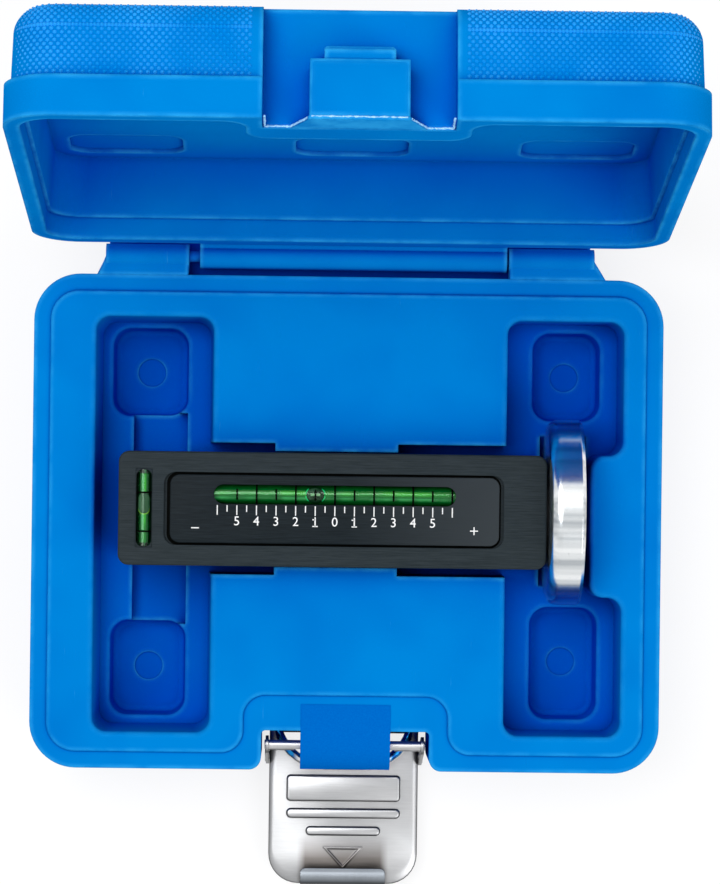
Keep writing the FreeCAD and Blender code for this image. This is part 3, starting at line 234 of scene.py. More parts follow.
def outerEdge(tree, reach, spots):
    # up to 1 along edges that stand out, broken up by spots
    share = ramp(tree, crevice(tree, reach, inside=True, only_local=True), (0.62, 1.0), (0.90, 0.0))
    return calculate(tree, "MULTIPLY", share, ramp(tree, spots, (0.35, 0.25), (0.62, 1.0)))


def bumped(tree, normal, *heights):
    # heights are pairs of an output and its depth in millimetres
    for height, depth in heights:
        normal = addNode(tree, "Bump", {"Strength": 1.0, "Distance": depth * mm, "Height": height,
                                        "Normal": normal})
    return normal


def softEdge(tree, radius, samples=6):
    return addNode(tree, "Bevel", {"Radius": radius * mm}, samples=samples)


def shade(tree, values):
    addNode(tree, "OutputMaterial", {"Surface": addNode(tree, "BsdfPrincipled", values)})


# the case's blue plastic

caseBlue = {
    "crease": (0.0, 0.060, 0.55),  # where little light gets in
    # painted shade: the corner colour darkens the blue where other surfaces come near
    "corner": (0.12, 0.17, 0.36),  # multiplies the colour deep in a corner
    "deep": (0.0, 0.150, 0.495),
    "plain": (0.0, 0.182, 0.540),
    "scuff": (0.06, 0.36, 0.70),
    # paler blue along edges that stand out: partly wear, partly painted highlight
    "wornEdgeAndHighlight": (0.03, 0.37, 0.76),
    "wornAndHighlightShare": 0.62,
    "wornAndHighlightReach": 1.5,
    "sheen": (0.03, 0.42, 0.92),
    "shine": 0.0,
    "creaseReach": 32,
    "cornerShadeReach": 5,
    "roughness": (0.28, 0.40),
    "grainDepth": 0.012,
    "waveDepth": 0.06,
    "softEdge": 1.1,
    # painted light: the raised dots in a paler copy of the case blue
    "dotLitDeep": (0.0, 0.21, 0.62),
    "dotLitPlain": (0.02, 0.29, 0.74),
    "dotShine": 0.3,
    "dotRoughness": (0.26, 0.36),
}


def makeCaseBlue():
    tree = newFinish("caseBlue")
    color = ramp(tree, noise(tree, 0.03, 2), (0.3, caseBlue["deep"]), (0.62, caseBlue["plain"]))
    streak = noise(tree, 0.9, 4, 0.7, (0.9, 0.06, 0.3), (0, 0, 0.5))
    color = mixColor(tree, ramp(tree, streak, (0.70, 0.0), (0.80, 0.4)), color, caseBlue["scuff"])
    light = ramp(tree, crevice(tree, caseBlue["creaseReach"]), (0.22, 0.0), (0.86, 1.0))
    color = mixColor(tree, light, caseBlue["crease"], color)
    # painted shade deep in corners
    near = crevice(tree, caseBlue["cornerShadeReach"])
    color = multiply(tree, color, ramp(tree, near, (0.12, caseBlue["corner"]), (0.72, 1.0)))
    # worn edges and painted highlights along edges that stand out
    wornAndHighlight = outerEdge(tree, caseBlue["wornAndHighlightReach"], noise(tree, 0.14))
    wornAndHighlight = calculate(tree, "MULTIPLY", wornAndHighlight, caseBlue["wornAndHighlightShare"])
    color = mixColor(tree, wornAndHighlight, color, caseBlue["wornEdgeAndHighlight"])
    fine = noise(tree, 3.5)
    wave = noise(tree, 0.09, 2)
    normal = bumped(tree, softEdge(tree, caseBlue["softEdge"]), (fine, caseBlue["grainDepth"]),
                    (wave, caseBlue["waveDepth"]))
    shade(tree, {"Base Color": color, "Roughness": span(tree, fine, *caseBlue["roughness"]), "IOR": 1.5,
                 "Specular IOR Level": caseBlue["shine"], "Specular Tint": caseBlue["sheen"],
                 "Normal": normal})


# painted light: paler copy of the case blue for the raised dots
def makeDotBlue():
    tree = newFinish("dotBlueLit")
    broad = noise(tree, 0.05, 2)
    color = ramp(tree, broad, (0.35, caseBlue["dotLitDeep"]), (0.62, caseBlue["dotLitPlain"]))
    shade(tree, {"Base Color": color, "Roughness": span(tree, broad, *caseBlue["dotRoughness"]), "IOR": 1.5,
                 "Specular IOR Level": caseBlue["dotShine"], "Specular Tint": caseBlue["sheen"]})


# brushed, stamped and chromed metal

brushed = {  # axis of the lines, dark, light, metallic, roughness, depth, soft edge, shine
    "pinSteel": ("X", (0.38, 0.38, 0.39), (0.6, 0.6, 0.6), 1.0, (0.25, 0.4), 0.004, 0.25, 0.5),
    "screwSteel": ("Y", (0.42, 0.42, 0.42), (0.66, 0.66, 0.65), 1.0, (0.2, 0.35), 0.004, 0.25, 0.5),
    "barBlack": ("X", (0.010, 0.016, 0.019), (0.025, 0.034, 0.039), 0.0, (0.34, 0.50), 0.003, 0.5, 0.05),
    "plateBlack": ("X", (0.003, 0.006, 0.008), (0.012, 0.018, 0.022), 0.0, (0.36, 0.52), 0.004, 0.25, 0.05),
}
# painted sheen: the plate grows paler towards its right end
paintedSheen = {"plateBlack": (0, 42, (0.030, 0.037, 0.042))}  # X where it starts and where it is full, colour


def makeBrushed(name, along, dark, light, metallic, roughness, depth, soft, shine):
    tree = newFinish(name)
    lines = lined(tree, along, 0.03, 4.5)
    cloud = noise(tree, 0.12)
    blend = mixColor(tree, cloud, lines, (0.5, 0.5, 0.5), "OVERLAY")
    color = ramp(tree, blend, (0.32, dark), (0.68, light))
    # painted sheen along X
    if name in paintedSheen:
        start, full, sheenColor = paintedSheen[name]
        color = mixColor(tree, span(tree, coordinate(tree, "X"), 0.0, 1.0, start, full), color, sheenColor)
    shade(tree, {"Base Color": color, "Metallic": metallic, "Roughness": span(tree, lines, *roughness),
                 "Specular IOR Level": shine, "Normal": bumped(tree, softEdge(tree, soft), (lines, depth))})


stamped = {  # colour where level and where steep, axis of the lines, roughness, soft edge, tab's shadow
    "latchSteel": ((0.52, 0.52, 0.53), (0.40, 0.41, 0.42), "X", (0.24, 0.38), 0.35, 0.85),
    # painted shade: the tab in a darker copy of the lever's steel
    "tabSteelShaded": ((0.30, 0.33, 0.36), (0.20, 0.22, 0.25), "Y", (0.3, 0.45), 0.3, 0.0),
}
tabShade = {
    "start": -89.5,  # Y where the shadow behind the tab starts and where it is full
    "full": -96.5,
    "middle": 0.3,
    "half": 11.9,
    "fade": 1.2,
    "color": (0.10, 0.085, 0.075),
}


def makeStamped(name, flat, steep, along, roughness, soft, shadow):
    # pressed bright steel with painted reflections: pale where it lies level, dark where it turns away
    tree = newFinish(name)
    lines = lined(tree, along, 0.05, 3.0)
    cloud = noise(tree, 0.07, 2)
    edge = softEdge(tree, soft, 8)
    own = addNode(tree, "VectorTransform", {"Vector": edge}, vector_type="NORMAL", convert_from="WORLD",
                  convert_to="OBJECT")
    lean = calculate(tree, "ABSOLUTE", addNode(tree, "SeparateXYZ", {"Vector": own}, "Z"))
    reflectionShade = ramp(tree, lean, (0.0, 0.45), (0.35, 0.16), (0.72, 0.34), (0.90, 0.78), (0.975, 1.0))
    # painted reflections: lighter and darker bands along Y
    down = span(tree, coordinate(tree, "Y"), 0.0, 1.0, -104.0, -66.0)
    paintedLightBands = ramp(tree, down, (0.0, 0.72), (0.22, 0.92), (0.48, 0.80), (0.66, 0.80), (0.86, 0.90))
    fine = ramp(tree, lines, (0.35, 0.93), (0.65, 1.0))
    color = multiply(tree, mixColor(tree, cloud, steep, flat), paintedLightBands, fine, reflectionShade)
    toTab = span(tree, coordinate(tree, "Y"), 0.0, shadow, tabShade["start"], tabShade["full"])
    aside = calculate(tree, "SUBTRACT", coordinate(tree, "X"), tabShade["middle"])
    aside = calculate(tree, "ABSOLUTE", aside)
    across = span(tree, aside, 0.0, 1.0, tabShade["half"] + tabShade["fade"],
                  tabShade["half"] - tabShade["fade"])
    color = mixColor(tree, calculate(tree, "MULTIPLY", toTab, across), color, tabShade["color"])
    # painted shade round the ribs and in creases
    color = multiply(tree, color, ramp(tree, crevice(tree, 2.2), (0.35, 0.45), (0.92, 1.0)))
    shade(tree, {"Base Color": color, "Metallic": 1.0, "Roughness": span(tree, lines, *roughness),
                 "Normal": bumped(tree, edge, (lines, 0.003))})


def makeChrome():
    # polished, with painted reflections: dark and pale lines across its side
    tree = newFinish("chrome")
    lines = noise(tree, 0.26, 2, 0.5, (0.012, 1, 1))
    streak = ramp(tree, lines, (0.32, (0.34, 0.37, 0.40)), (0.47, (0.58, 0.61, 0.63)),
                  (0.66, (0.84, 0.86, 0.87)))
    spots = noise(tree, 1.6, 4, 0.7)
    color = multiply(tree, streak, ramp(tree, spots, (0.28, 0.45), (0.36, 1.0)))
    shade(tree, {"Base Color": color, "Metallic": 1.0, "Roughness": span(tree, spots, 0.13, 0.24),
                 "Normal": bumped(tree, softEdge(tree, 0.3), (spots, 0.004))})


def makeRimSteel():
    # painted reflection of the blue case at its sides, plain steel grey towards the middle
    tree = newFinish("rimSteel")
    side = calculate(tree, "ABSOLUTE", coordinate(tree, "X"))
    wave = noise(tree, 0.7, 2)
    paintedCaseReflection = ramp(tree, wave, (0.4, (0.005, 0.05, 0.20)), (0.6, (0.01, 0.20, 0.50)))
    color = mixColor(tree, span(tree, side, 0.0, 1.0, 12.6, 14.2), (0.62, 0.64, 0.66), paintedCaseReflection)
    shade(tree, {"Base Color": color, "Metallic": 1.0, "Roughness": 0.12})


# plain mouldings, prints and the other small parts

moulded = {  # dark, light, roughness and shine
    "carrierBlack": ((0.018, 0.018, 0.02), (0.035, 0.035, 0.038), (0.45, 0.6), 0.12),
    "spacerBlack": ((0.012, 0.012, 0.013), (0.022, 0.022, 0.024), (0.5, 0.7), 0.12),
    # painted shade: the strap in a darker copy of the case blue
    "strapBlueShaded": ((0.0, 0.104, 0.44), (0.0, 0.120, 0.47), (0.32, 0.44), 0.0),
    "flashPale": ((0.16, 0.44, 0.80), (0.42, 0.68, 0.92), (0.4, 0.6), 0.12),
    "ferrite": ((0.03, 0.03, 0.033), (0.07, 0.07, 0.075), (0.55, 0.75), 0.12),
    "paintWhite": ((0.78, 0.78, 0.76), (0.88, 0.88, 0.87), (0.5, 0.65), 0.12),
    # print of the vial marks, and painted shadow in the gap round the scale plate
    "markAndShadowBlack": ((0.0008, 0.001, 0.001), (0.002, 0.0025, 0.002), (0.5, 0.7), 0.02),
}


def makeMoulded(name, dark, light, roughness, shine):
    tree = newFinish(name)
    grain = noise(tree, 2.5, 4)
    shade(tree, {"Base Color": ramp(tree, grain, (0.35, dark), (0.65, light)),
                 "Roughness": span(tree, grain, *roughness), "Specular IOR Level": shine,
                 "Normal": bumped(tree, softEdge(tree, 0.2), (grain, 0.01))})


# acrylic, liquid and air of the levels

vialLook = {
    "wall": (0.60, 0.95, 0.72),
    "gloss": (0.9, 1.0, 0.92),
    "shine": 0.06,
    # the dark, bright and pale liquid colours are painted shade and painted light on the plain dye
    "liquidDark": (0.001, 0.040, 0.014),
    "liquidPlain": (0.003, 0.115, 0.042),
    "liquidBright": (0.16, 0.42, 0.035),
    "liquidPale": (0.22, 0.42, 0.30),
}


def makeVialWall():
    # clear acrylic: tinted see-through with a sharp sheen
    tree = newFinish("vialWall")
    clear = addNode(tree, "BsdfTransparent", {"Color": vialLook["wall"]})
    ripple = noise(tree, 0.8, 2, stretch=(0.1, 1, 1))
    bump = addNode(tree, "Bump", {"Strength": 0.4, "Distance": 0.02 * mm, "Height": ripple})
    gloss = addNode(tree, "BsdfGlossy", {"Color": vialLook["gloss"], "Roughness": 0.04, "Normal": bump})
    edge = addNode(tree, "LayerWeight", {"Blend": 0.35}, "Fresnel")
    share = span(tree, edge, 0.02, vialLook["shine"])
    addNode(tree, "OutputMaterial", {"Surface": addNode(tree, "MixShader", {0: share, 1: clear, 2: gloss})})


liquids = {  # axis across the bore, its middle there and half the width of the bright bands
    "camberLiquid": ("Y", 8.0, 3.0),
    "crossLiquid": ("X", -56.3, 1.5),
    "casterLiquid": ("Z", 31.0, 3.0),
}


def makeLiquid(name, across, centre, half):
    # dyed spirit, with painted light: brighter in lengthwise bands where the round bore gathers light,
    # darker at the sides of the bore
    tree = newFinish(name)
    dark, plain = vialLook["liquidDark"], vialLook["liquidPlain"]
    place = span(tree, coordinate(tree, across), 0.0, 1.0, centre - half, centre + half)
    paintedLightBands = ramp(tree, place, (0.0, dark), (0.2, plain), (0.34, vialLook["liquidPale"]), (0.42, plain),
                 (0.60, vialLook["liquidBright"]), (0.72, plain), (1.0, dark))
    patches = noise(tree, 1.2, 1, stretch=(0.12, 0.12, 0.12))
    color = mixColor(tree, ramp(tree, patches, (0.42, 0.35), (0.55, 1.0)), plain, paintedLightBands)
    shade(tree, {"Base Color": color, "Roughness": 0.15, "IOR": 1.36})


glossy = {  # colour and roughness
    "bubbleDark": ((0.006, 0.022, 0.012), (0.05, 0.12)),
    # the rim, glow and glint colours below are painted highlights
    "bubbleRimLight": ((0.02, 0.62, 0.30), (0.1, 0.2)),
    "bubbleGlow": ((0.62, 0.75, 0.05), (0.1, 0.2)),
    "bubbleGrey": ((0.035, 0.060, 0.040), (0.05, 0.12)),
    "bubbleGlint": ((0.40, 0.42, 0.32), (0.1, 0.2)),
}


def makeGlossy(name, color, roughness):
    tree = newFinish(name)
    cloud = noise(tree, 0.6)
    scratch = noise(tree, 1.4, 4, 0.75, (0.25, 2.5, 0.6), (0.3, 0.2, 0.6))
    dim = tuple(0.78 * c for c in color)
    shade(tree, {"Base Color": ramp(tree, scratch, (0.30, dim), (0.45, color)),
                 "Roughness": span(tree, cloud, *roughness), "Specular IOR Level": 0.12,
                 "Normal": bumped(tree, softEdge(tree, 0.2), (scratch, 0.004))})


for makeFinish in (makeCaseBlue, makeDotBlue, makeChrome, makeRimSteel, makeVialWall):
    makeFinish()
for makeFinish, looks in ((makeBrushed, brushed), (makeStamped, stamped), (makeMoulded, moulded),
                          (makeLiquid, liquids), (makeGlossy, glossy)):
    for name, look in looks.items():
        makeFinish(name, *look)
print("materials made:", len(finishes))

nodesOf = {
    "caseBlue": ("base_shell", "lid_shell", "hinge_pin"),
    "latchSteel": ("latch_links", "latch_lever"),
    "pinSteel": ("latch_link_rod", "latch_rivets", "caster_pivot"),
    "barBlack": ("gauge_body",),
    "plateBlack": ("camber_plate", "caster_plate"),
    "vialWall": ("camber_vial", "cross_vial", "caster_vial"),
    "camberLiquid": ("camber_liquid",),
    "crossLiquid": ("cross_liquid",),
    "casterLiquid": ("caster_liquid",),
    "bubbleDark": ("camber_bubble", "cross_bubble", "caster_bubble"),
    "carrierBlack": ("caster_carrier",),
    "screwSteel": ("caster_screw", "magnet_screw"),
    "spacerBlack": ("caster_cushion", "magnet_spacer"),
    "chrome": ("magnet_cup", "magnet_pole"),
    "ferrite": ("magnet_ring",),
}


def coat(piece, finish):
    piece.data.materials.clear()
    piece.data.materials.append(finishes[finish])
    return piece


for finish, nodes in nodesOf.items():
    for node in nodes:
        coat(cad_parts[node], finish)
print("materials on", sum(len(nodes) for nodes in nodesOf.values()), "CAD nodes")


# helpers for new pieces

def activate(piece):
    bpy.ops.object.select_all(action="DESELECT")
    piece.select_set(True)
    bpy.context.view_layer.objects.active = piece


def applyAll(piece):
    activate(piece)
    for modifier in list(piece.modifiers):
        bpy.ops.object.modifier_apply(modifier=modifier.name)


def settle(piece):
    # place, turn and scale go into the mesh
    activate(piece)
    bpy.ops.object.transform_apply(location=True, rotation=True, scale=True)


def placed(place, size=None, turn=(0, 0, 0)):
    # the new primitive, stretched, turned and set in its place, all within its mesh
    piece = bpy.context.object
    piece.location = [c * mm for c in place]
    piece.rotation_euler = turn
    if size:
        piece.scale = [c * mm for c in size]
    settle(piece)
    return piece


def copied(source):
    copy = source.copy()
    copy.data = source.data.copy()
    bpy.context.scene.collection.objects.link(copy)
    return copy


def joined(name, pieces):
    activate(pieces[0])
    for piece in pieces:
        piece.select_set(True)
    if len(pieces) > 1:
        bpy.ops.object.join()
    piece = bpy.context.object
    piece.name = name
    return piece


def dress(piece, finish, body, replaced=None):
    # without a finish a piece keeps those of its parts
    if finish:
        coat(piece, finish)
    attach(piece, body)
    if replaced:
        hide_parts(replaced)
    piece.select_set(False)


def edit(kind=None):
    # with everything selected, or ready to pick parts of one kind
    bpy.ops.object.mode_set(mode="EDIT")
    if kind:
        bpy.ops.mesh.select_mode(type=kind)
    else:
        bpy.ops.mesh.select_all(action="SELECT")


def finishEdit(outward=True):
    if outward:
        bpy.ops.mesh.select_all(action="SELECT")
        bpy.ops.mesh.normals_make_consistent(inside=False)
    bpy.ops.object.mode_set(mode="OBJECT")


def pick(piece, kind, wanted):
    # selects the faces, edges or verts for which wanted holds
    mesh = bmesh.from_edit_mesh(piece.data)
    for part in (*mesh.faces, *mesh.edges, *mesh.verts):
        part.select_set(False)
    for part in [part for part in getattr(mesh, kind) if wanted(part)]:
        part.select_set(True)
    mesh.select_flush_mode()
    bmesh.update_edit_mesh(piece.data)


def extrude(rise):
    bpy.ops.mesh.extrude_region_move(TRANSFORM_OT_translate={"value": (0, 0, rise * mm)})


def extrudeEdges(y, z):
    bpy.ops.mesh.extrude_edges_move(TRANSFORM_OT_translate={"value": (0, y * mm, z * mm)})


def move(x, y, z):
    bpy.ops.transform.translate(value=(x * mm, y * mm, z * mm))


def bevel(width, segments, affect="EDGES"):
    bpy.ops.mesh.bevel(offset=width * mm, segments=segments, affect=affect)


def smooth(degrees):
    bpy.ops.object.shade_smooth_by_angle(angle=math.radians(degrees))


def flatPlate(left, right, front, back, high, corner=0, which=None):
    # one face at a height, its chosen corners rounded
    bpy.ops.mesh.primitive_plane_add(size=1)
    piece = placed(((left + right) / 2, (front + back) / 2, high), (right - left, back - front, 1))
    if corner:
        edit("VERT")
        pick(piece, "verts", which or (lambda vertex: True))
        bevel(corner, 8, "VERTICES")
        finishEdit(False)
    return piece


def slab(left, right, front, back, low, high, edge=0, segments=2):
    # rectangular plate extruded up, its upper edges rounded
    piece = flatPlate(left, right, front, back, low)
    edit()
    extrude(high - low)
    if edge:
        bevel(edge, segments)
    finishEdit()
    return piece


def pillow(left, right, front, back, low, high, corner, soft):
    # pressed-up pad with rounded corners and a soft upper edge
    piece = flatPlate(left, right, front, back, low, corner)
    edit()
    extrude(high - low)
    bpy.ops.mesh.region_to_loop()
    bevel(soft, 3)
    finishEdit()
    smooth(35)
    return piece


def thicken(piece, thick, side):
    sheet = piece.modifiers.new("sheet", "SOLIDIFY")
    sheet.thickness = thick * mm
    sheet.offset = side


def repeat(piece, count, pitch):
    array = piece.modifiers.new("row", "ARRAY")
    array.count = count
    array.use_relative_offset = False
    array.use_constant_offset = True
    array.constant_offset_displace = (pitch * mm, 0, 0)
    applyAll(piece)


def cutOut(piece, outline, tall):
    # cuts away what stands on a flat outline, up to this tall
    activate(outline)
    edit()
    extrude(tall)
    finishEdit()
    hole = piece.modifiers.new("window", "BOOLEAN")
    hole.object = outline
    hole.solver = "EXACT"
    applyAll(piece)
    bpy.data.objects.remove(outline)
    activate(piece)


# printed scale on the top plate

scale = {
    "zero": -3.5,
    "step": 5.42,
    "degrees": 6,
    "foot": 4.95,  # ticks start here and run towards the near edge
    "long": 2.7,
    "short": 1.8,
    "wide": 0.32,
    "thick": 0.03,
    "digitTall": 2.6,
    "digitMiddle": 0.5,
    "digitFull": 1.38,  # type size for a digit one high
    "footHalf": 0.75,
    "signMiddle": -1.4,
    "signAt": 38.6,
    "signWide": 2.2,
}
plateLow, plateHigh = (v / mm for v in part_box("camber_plate"))


def degreeAt(degree):
    return scale["zero"] + degree * scale["step"]


def printMark(left, right, front, back, edge=0, segments=2):
    top = plateHigh[2]
    return slab(left, right, front, back, top, top + scale["thick"], edge, segments)


def makeTicks():
    half = scale["wide"] / 2
    made = []
    for long, start, count in ((scale["long"], -scale["degrees"], 2 * scale["degrees"] + 1),
                               (scale["short"], -scale["degrees"] + 0.5, 2 * scale["degrees"])):
        x = degreeAt(start)
        tick = printMark(x - half, x + half, scale["foot"] - long, scale["foot"], scale["thick"] * 0.4, 1)
        repeat(tick, count, scale["step"])
        made.append(tick)
    return joined("scaleTicks", made)


def writeDigit(digit, x):
    bpy.ops.object.text_add()
    text = bpy.context.object.data
    text.body = digit
    text.align_x = "CENTER"
    text.align_y = "CENTER"
    text.size = scale["digitTall"] * scale["digitFull"] * mm
    text.extrude = scale["thick"] * mm
    text.offset = 0.01 * mm
    text.resolution_u = 4
    bpy.ops.object.convert(target="MESH")
    return placed((x, scale["digitMiddle"], plateHigh[2]))


def makeDigits():
    made = []
    half, wide = scale["footHalf"], scale["wide"]
    for degree in range(-5, 6):
        x = degreeAt(degree)
        made.append(writeDigit(str(abs(degree)), x))
        if abs(degree) == 1:  # a foot tells the one from a tick
            foot = scale["digitMiddle"] - scale["digitTall"] / 2
            made.append(printMark(x - half, x + half, foot, foot + wide))
            head = foot + scale["digitTall"] - wide
            made.append(printMark(x - half, x, head - wide * 1.4, head - wide * 0.4))
    return joined("scaleDigits", made)


def makeSigns():
    # minus at the left end of the scale and plus at the right
    half = scale["signWide"] / 2
    thin = scale["wide"] / 2
    y = scale["signMiddle"]
    minus, plus = scale["zero"] - scale["signAt"], scale["zero"] + scale["signAt"]
    return joined("scaleSigns", [printMark(minus - half, minus + half, y - thin, y + thin),
                                 printMark(plus - half, plus + half, y - thin, y + thin),
                                 printMark(plus - thin, plus + thin, y - half, y - thin),
                                 printMark(plus - thin, plus + thin, y + thin, y + half)])


for piece in (makeTicks(), makeDigits(), makeSigns()):
    dress(piece, "paintWhite", "gauge")
print("scale printed")


# marks and bubbles of the levels

vial = {
    "across": 8.0,  # Y of the long level's middle line
    "axisHigh": 41.1,
    "radius": 4.0,
    "markWide": 0.5,
    "markThick": 0.03,
    "longMarks": (-4, -2, 0, 2, 4, 6),
    "shortMarks": (-5, -3, -1, 1, 3, 5),
    "shortHalf": 1.35,
    "bubbleHigh": 44.03,
    "bubbleHalf": (2.55, 2.3, 0.30),
    # the bright rim at the long bubble's ends is a painted highlight
    "rimWide": 0.12,  # both are shares of the bubble's half width
    "rimReach": 0.72,
    "rimTall": 1.2,
    "glintHalf": (1.3, 0.34),
    "glintShift": 0.1,
    "glintThick": 0.04,
    "crossAt": -56.3,
    "crossHigh": 44.45,
    "crossRadius": 2.2,
    "crossMarks": (8.2, -2.56),
    "crossBubbleHigh": 45.88,
    "crossBubbleHalf": (1.55, 2.85, 0.22),
    "crossBubbleAt": 5.1,
}


def ring(radius, place, axis, keepHalf=None):
    # thin band round a tube; keepHalf leaves only its upper part, that far each side
    bpy.ops.mesh.primitive_cylinder_add(vertices=48, radius=(radius + vial["markThick"]) * mm,
                                        depth=vial["markWide"] * mm, end_fill_type="NOTHING")
    band = placed(place, turn=(0, math.pi / 2, 0) if axis == "X" else (math.pi / 2, 0, 0))
    if keepHalf is not None:
        edit()
        pick(band, "faces", lambda face: face.calc_center_median().z < place[2] * mm or
             abs(face.calc_center_median().y - place[1] * mm) > keepHalf * mm)
        bpy.ops.mesh.delete(type="FACE")
        finishEdit(False)
    thicken(band, vial["markThick"] * 0.8, -1)
    applyAll(band)
    return band


def makeMarks():
    made = []
    for degrees, half in ((vial["longMarks"], None), (vial["shortMarks"], vial["shortHalf"])):
        for degree in degrees:
            place = (degreeAt(degree), vial["across"], vial["axisHigh"])
            made.append(ring(vial["radius"], place, "X", half))
    for y in vial["crossMarks"]:
        made.append(ring(vial["crossRadius"], (vial["crossAt"], y, vial["crossHigh"]), "Y"))
    return joined("vialMarks", made)


def makeLongBubble():
    # flattened drop against the top of the bore, with painted highlights: a bright rim at its ends and a
    # pale glint over its middle
    x, y, z = degreeAt(-1), vial["across"], vial["bubbleHigh"]
    long, wide, thick = vial["bubbleHalf"]
    bpy.ops.mesh.primitive_uv_sphere_add(segments=32, ring_count=16, radius=1)
    drop = coat(placed((x, y, z), (long, wide, thick)), "bubbleDark")
    bpy.ops.object.shade_smooth()
    bpy.ops.mesh.primitive_torus_add(major_radius=1, minor_radius=vial["rimWide"], major_segments=48,
                                     minor_segments=10)
    rim = bpy.context.object
    edit()
    pick(rim, "faces", lambda face: abs(face.calc_center_median().y) >= vial["rimReach"])
    bpy.ops.mesh.delete(type="FACE")
    bpy.ops.mesh.select_all(action="DESELECT")
    bpy.ops.mesh.select_non_manifold()
    bpy.ops.mesh.edge_face_add()
    finishEdit(False)
    coat(placed((x, y, z), (long, wide, thick * vial["rimTall"])), "bubbleRimLight")
    bpy.ops.object.shade_smooth()
    half, narrow = vial["glintHalf"]
    middle, high = y + vial["glintShift"], z + thick
    glint = slab(x - half, x + half, middle - narrow, middle + narrow, high, high + vial["glintThick"])
    return joined("longBubble", [drop, rim, coat(glint, "bubbleGlint")])


def makeCrossBubble():
    # painted highlight: a glowing patch over the bubble's front end
    x, y, z = vial["crossAt"], vial["crossBubbleAt"], vial["crossBubbleHigh"]
    wide, long, thick = vial["crossBubbleHalf"]
    left, right, front = x - wide, x + wide, y - long
    pad = pillow(left, right, front, y + long, z - thick, z + thick, wide * 0.9, 0.15)
    glow = pillow(left, right, front - 0.12, front + 2 * wide, z - thick, z + thick * 0.8, wide * 0.95, 0.1)
    return joined("crossBubble", [coat(pad, "bubbleGrey"), coat(glow, "bubbleGlow")])


dress(makeMarks(), "markAndShadowBlack", "gauge")
for piece, node in ((makeLongBubble(), "camber_bubble"), (makeCrossBubble(), "cross_bubble")):
    dress(piece, None, node, node)
print("marks and bubbles made")


# raised dots on the lid

hingeAt = Vector((0, 74.2, 32.5)) * mm
lidTurn = (Matrix.Translation(hingeAt) @ Matrix.Rotation(math.radians(-100), 4, "X")
           @ Matrix.Translation(-hingeAt))

dots = {
    "radius": 0.64,
    "tip": 0.20,
    "height": 0.34,
    "sunk": 0.10,
    "pitch": 1.78,
    "row": 1.0,  # from one row to the next
    "frontLow": 46.8,  # first row above the smooth band, lid closed
    "frontY": -67.3,
    "shoulder": 45.65,  # height at which the front wall stands at frontY
    "draft": 1.5,
    "lidTop": 65.65,
    "edgeRound": 7,
    "backEnd": 58,
    "padLeft": (-75.0, -26.6),
    "padRight": (27.2, 75.0),
    "topSpan": (-77.2, 77.2),
    "cornerAt": (75.0, -56.7),  # middle of the rounding of the lid's front corners
    "wrap": 1.4,  # how far round a corner the dots go, in radians
    "farthest": 130.2,
}


def oneDot():
    bpy.ops.mesh.primitive_cone_add(vertices=6, radius1=dots["radius"] * mm, radius2=dots["tip"] * mm,
                                    depth=(dots["height"] + dots["sunk"]) * mm, end_fill_type="NGON")
    dot = placed((0, 0, (dots["height"] - dots["sunk"]) / 2))
    edit()
    pick(dot, "faces", lambda face: face.calc_center_median().z < -dots["sunk"] * 0.9 * mm)
    bpy.ops.mesh.delete(type="FACE")
    finishEdit(False)
    return dot


def dotCount(left, right, shift):
    return int((right - left - shift) / dots["pitch"]) + 1


def dotLine(left, right, shift):
    # a line of dots along X, standing on the XY plane
    oneDot()
    dot = placed((left + shift, 0, 0))
    repeat(dot, dotCount(left, right, shift), dots["pitch"])
    return dot


def afterLine(left, right, shift):
    # how far past its right end a line of dots would go on
    return left + shift + dotCount(left, right, shift) * dots["pitch"] - right


def spread(name, sources, places):
    # a copy of a source at each place, which is (its index, matrix)
    made = []
    for index, place in places:
        copy = copied(sources[index])
        copy.matrix_world = place
        made.append(copy)
    for source in sources:
        bpy.data.objects.remove(source)
    piece = joined(name, made)
    settle(piece)
    edit()
    finishEdit()
    dress(piece, "dotBlueLit", "lid")


def dotRows(name, left, right, rows):
    # rows are (y, z, lean) in the closed lid; odd ones are staggered
    places = []
    for index, (y, z, lean) in enumerate(rows):
        place = lidTurn @ Matrix.Translation((0, y * mm, z * mm)) @ Matrix.Rotation(lean, 4, "X")
        places.append((index % 2, place))
    spread(name, [dotLine(left, right, shift) for shift in (0, dots["pitch"] / 2)], places)


def cornerDots(name, side, rows, first):
    # carries the rows on round a front corner; first is where even and odd ones start there
    middleX, middleY = dots["cornerAt"]
    places = []
    for index, (y, z, lean) in enumerate(rows):
        radius = middleY - y
        along = first[index % 2]
        while along < radius * dots["wrap"]:
            angle = along / radius
            spot = Vector((side * (middleX + radius * math.sin(angle)),
                           middleY - radius * math.cos(angle), z)) * mm
            places.append((0, lidTurn @ Matrix.Translation(spot) @ Matrix.Rotation(side * angle, 4, "Z")
                           @ Matrix.Rotation(lean, 4, "X")))
            along += dots["pitch"]
    spread(name, [oneDot()], places)


def farBack(row):
    # Y that a row's dots reach with the lid open
    y, z, lean = row
    foot = lidTurn @ Vector((0, y * mm, z * mm))
    out = lidTurn.to_3x3() @ (Matrix.Rotation(lean, 3, "X") @ Vector((0, 0, 1)))
    return foot.y / mm + out.y * dots["height"]


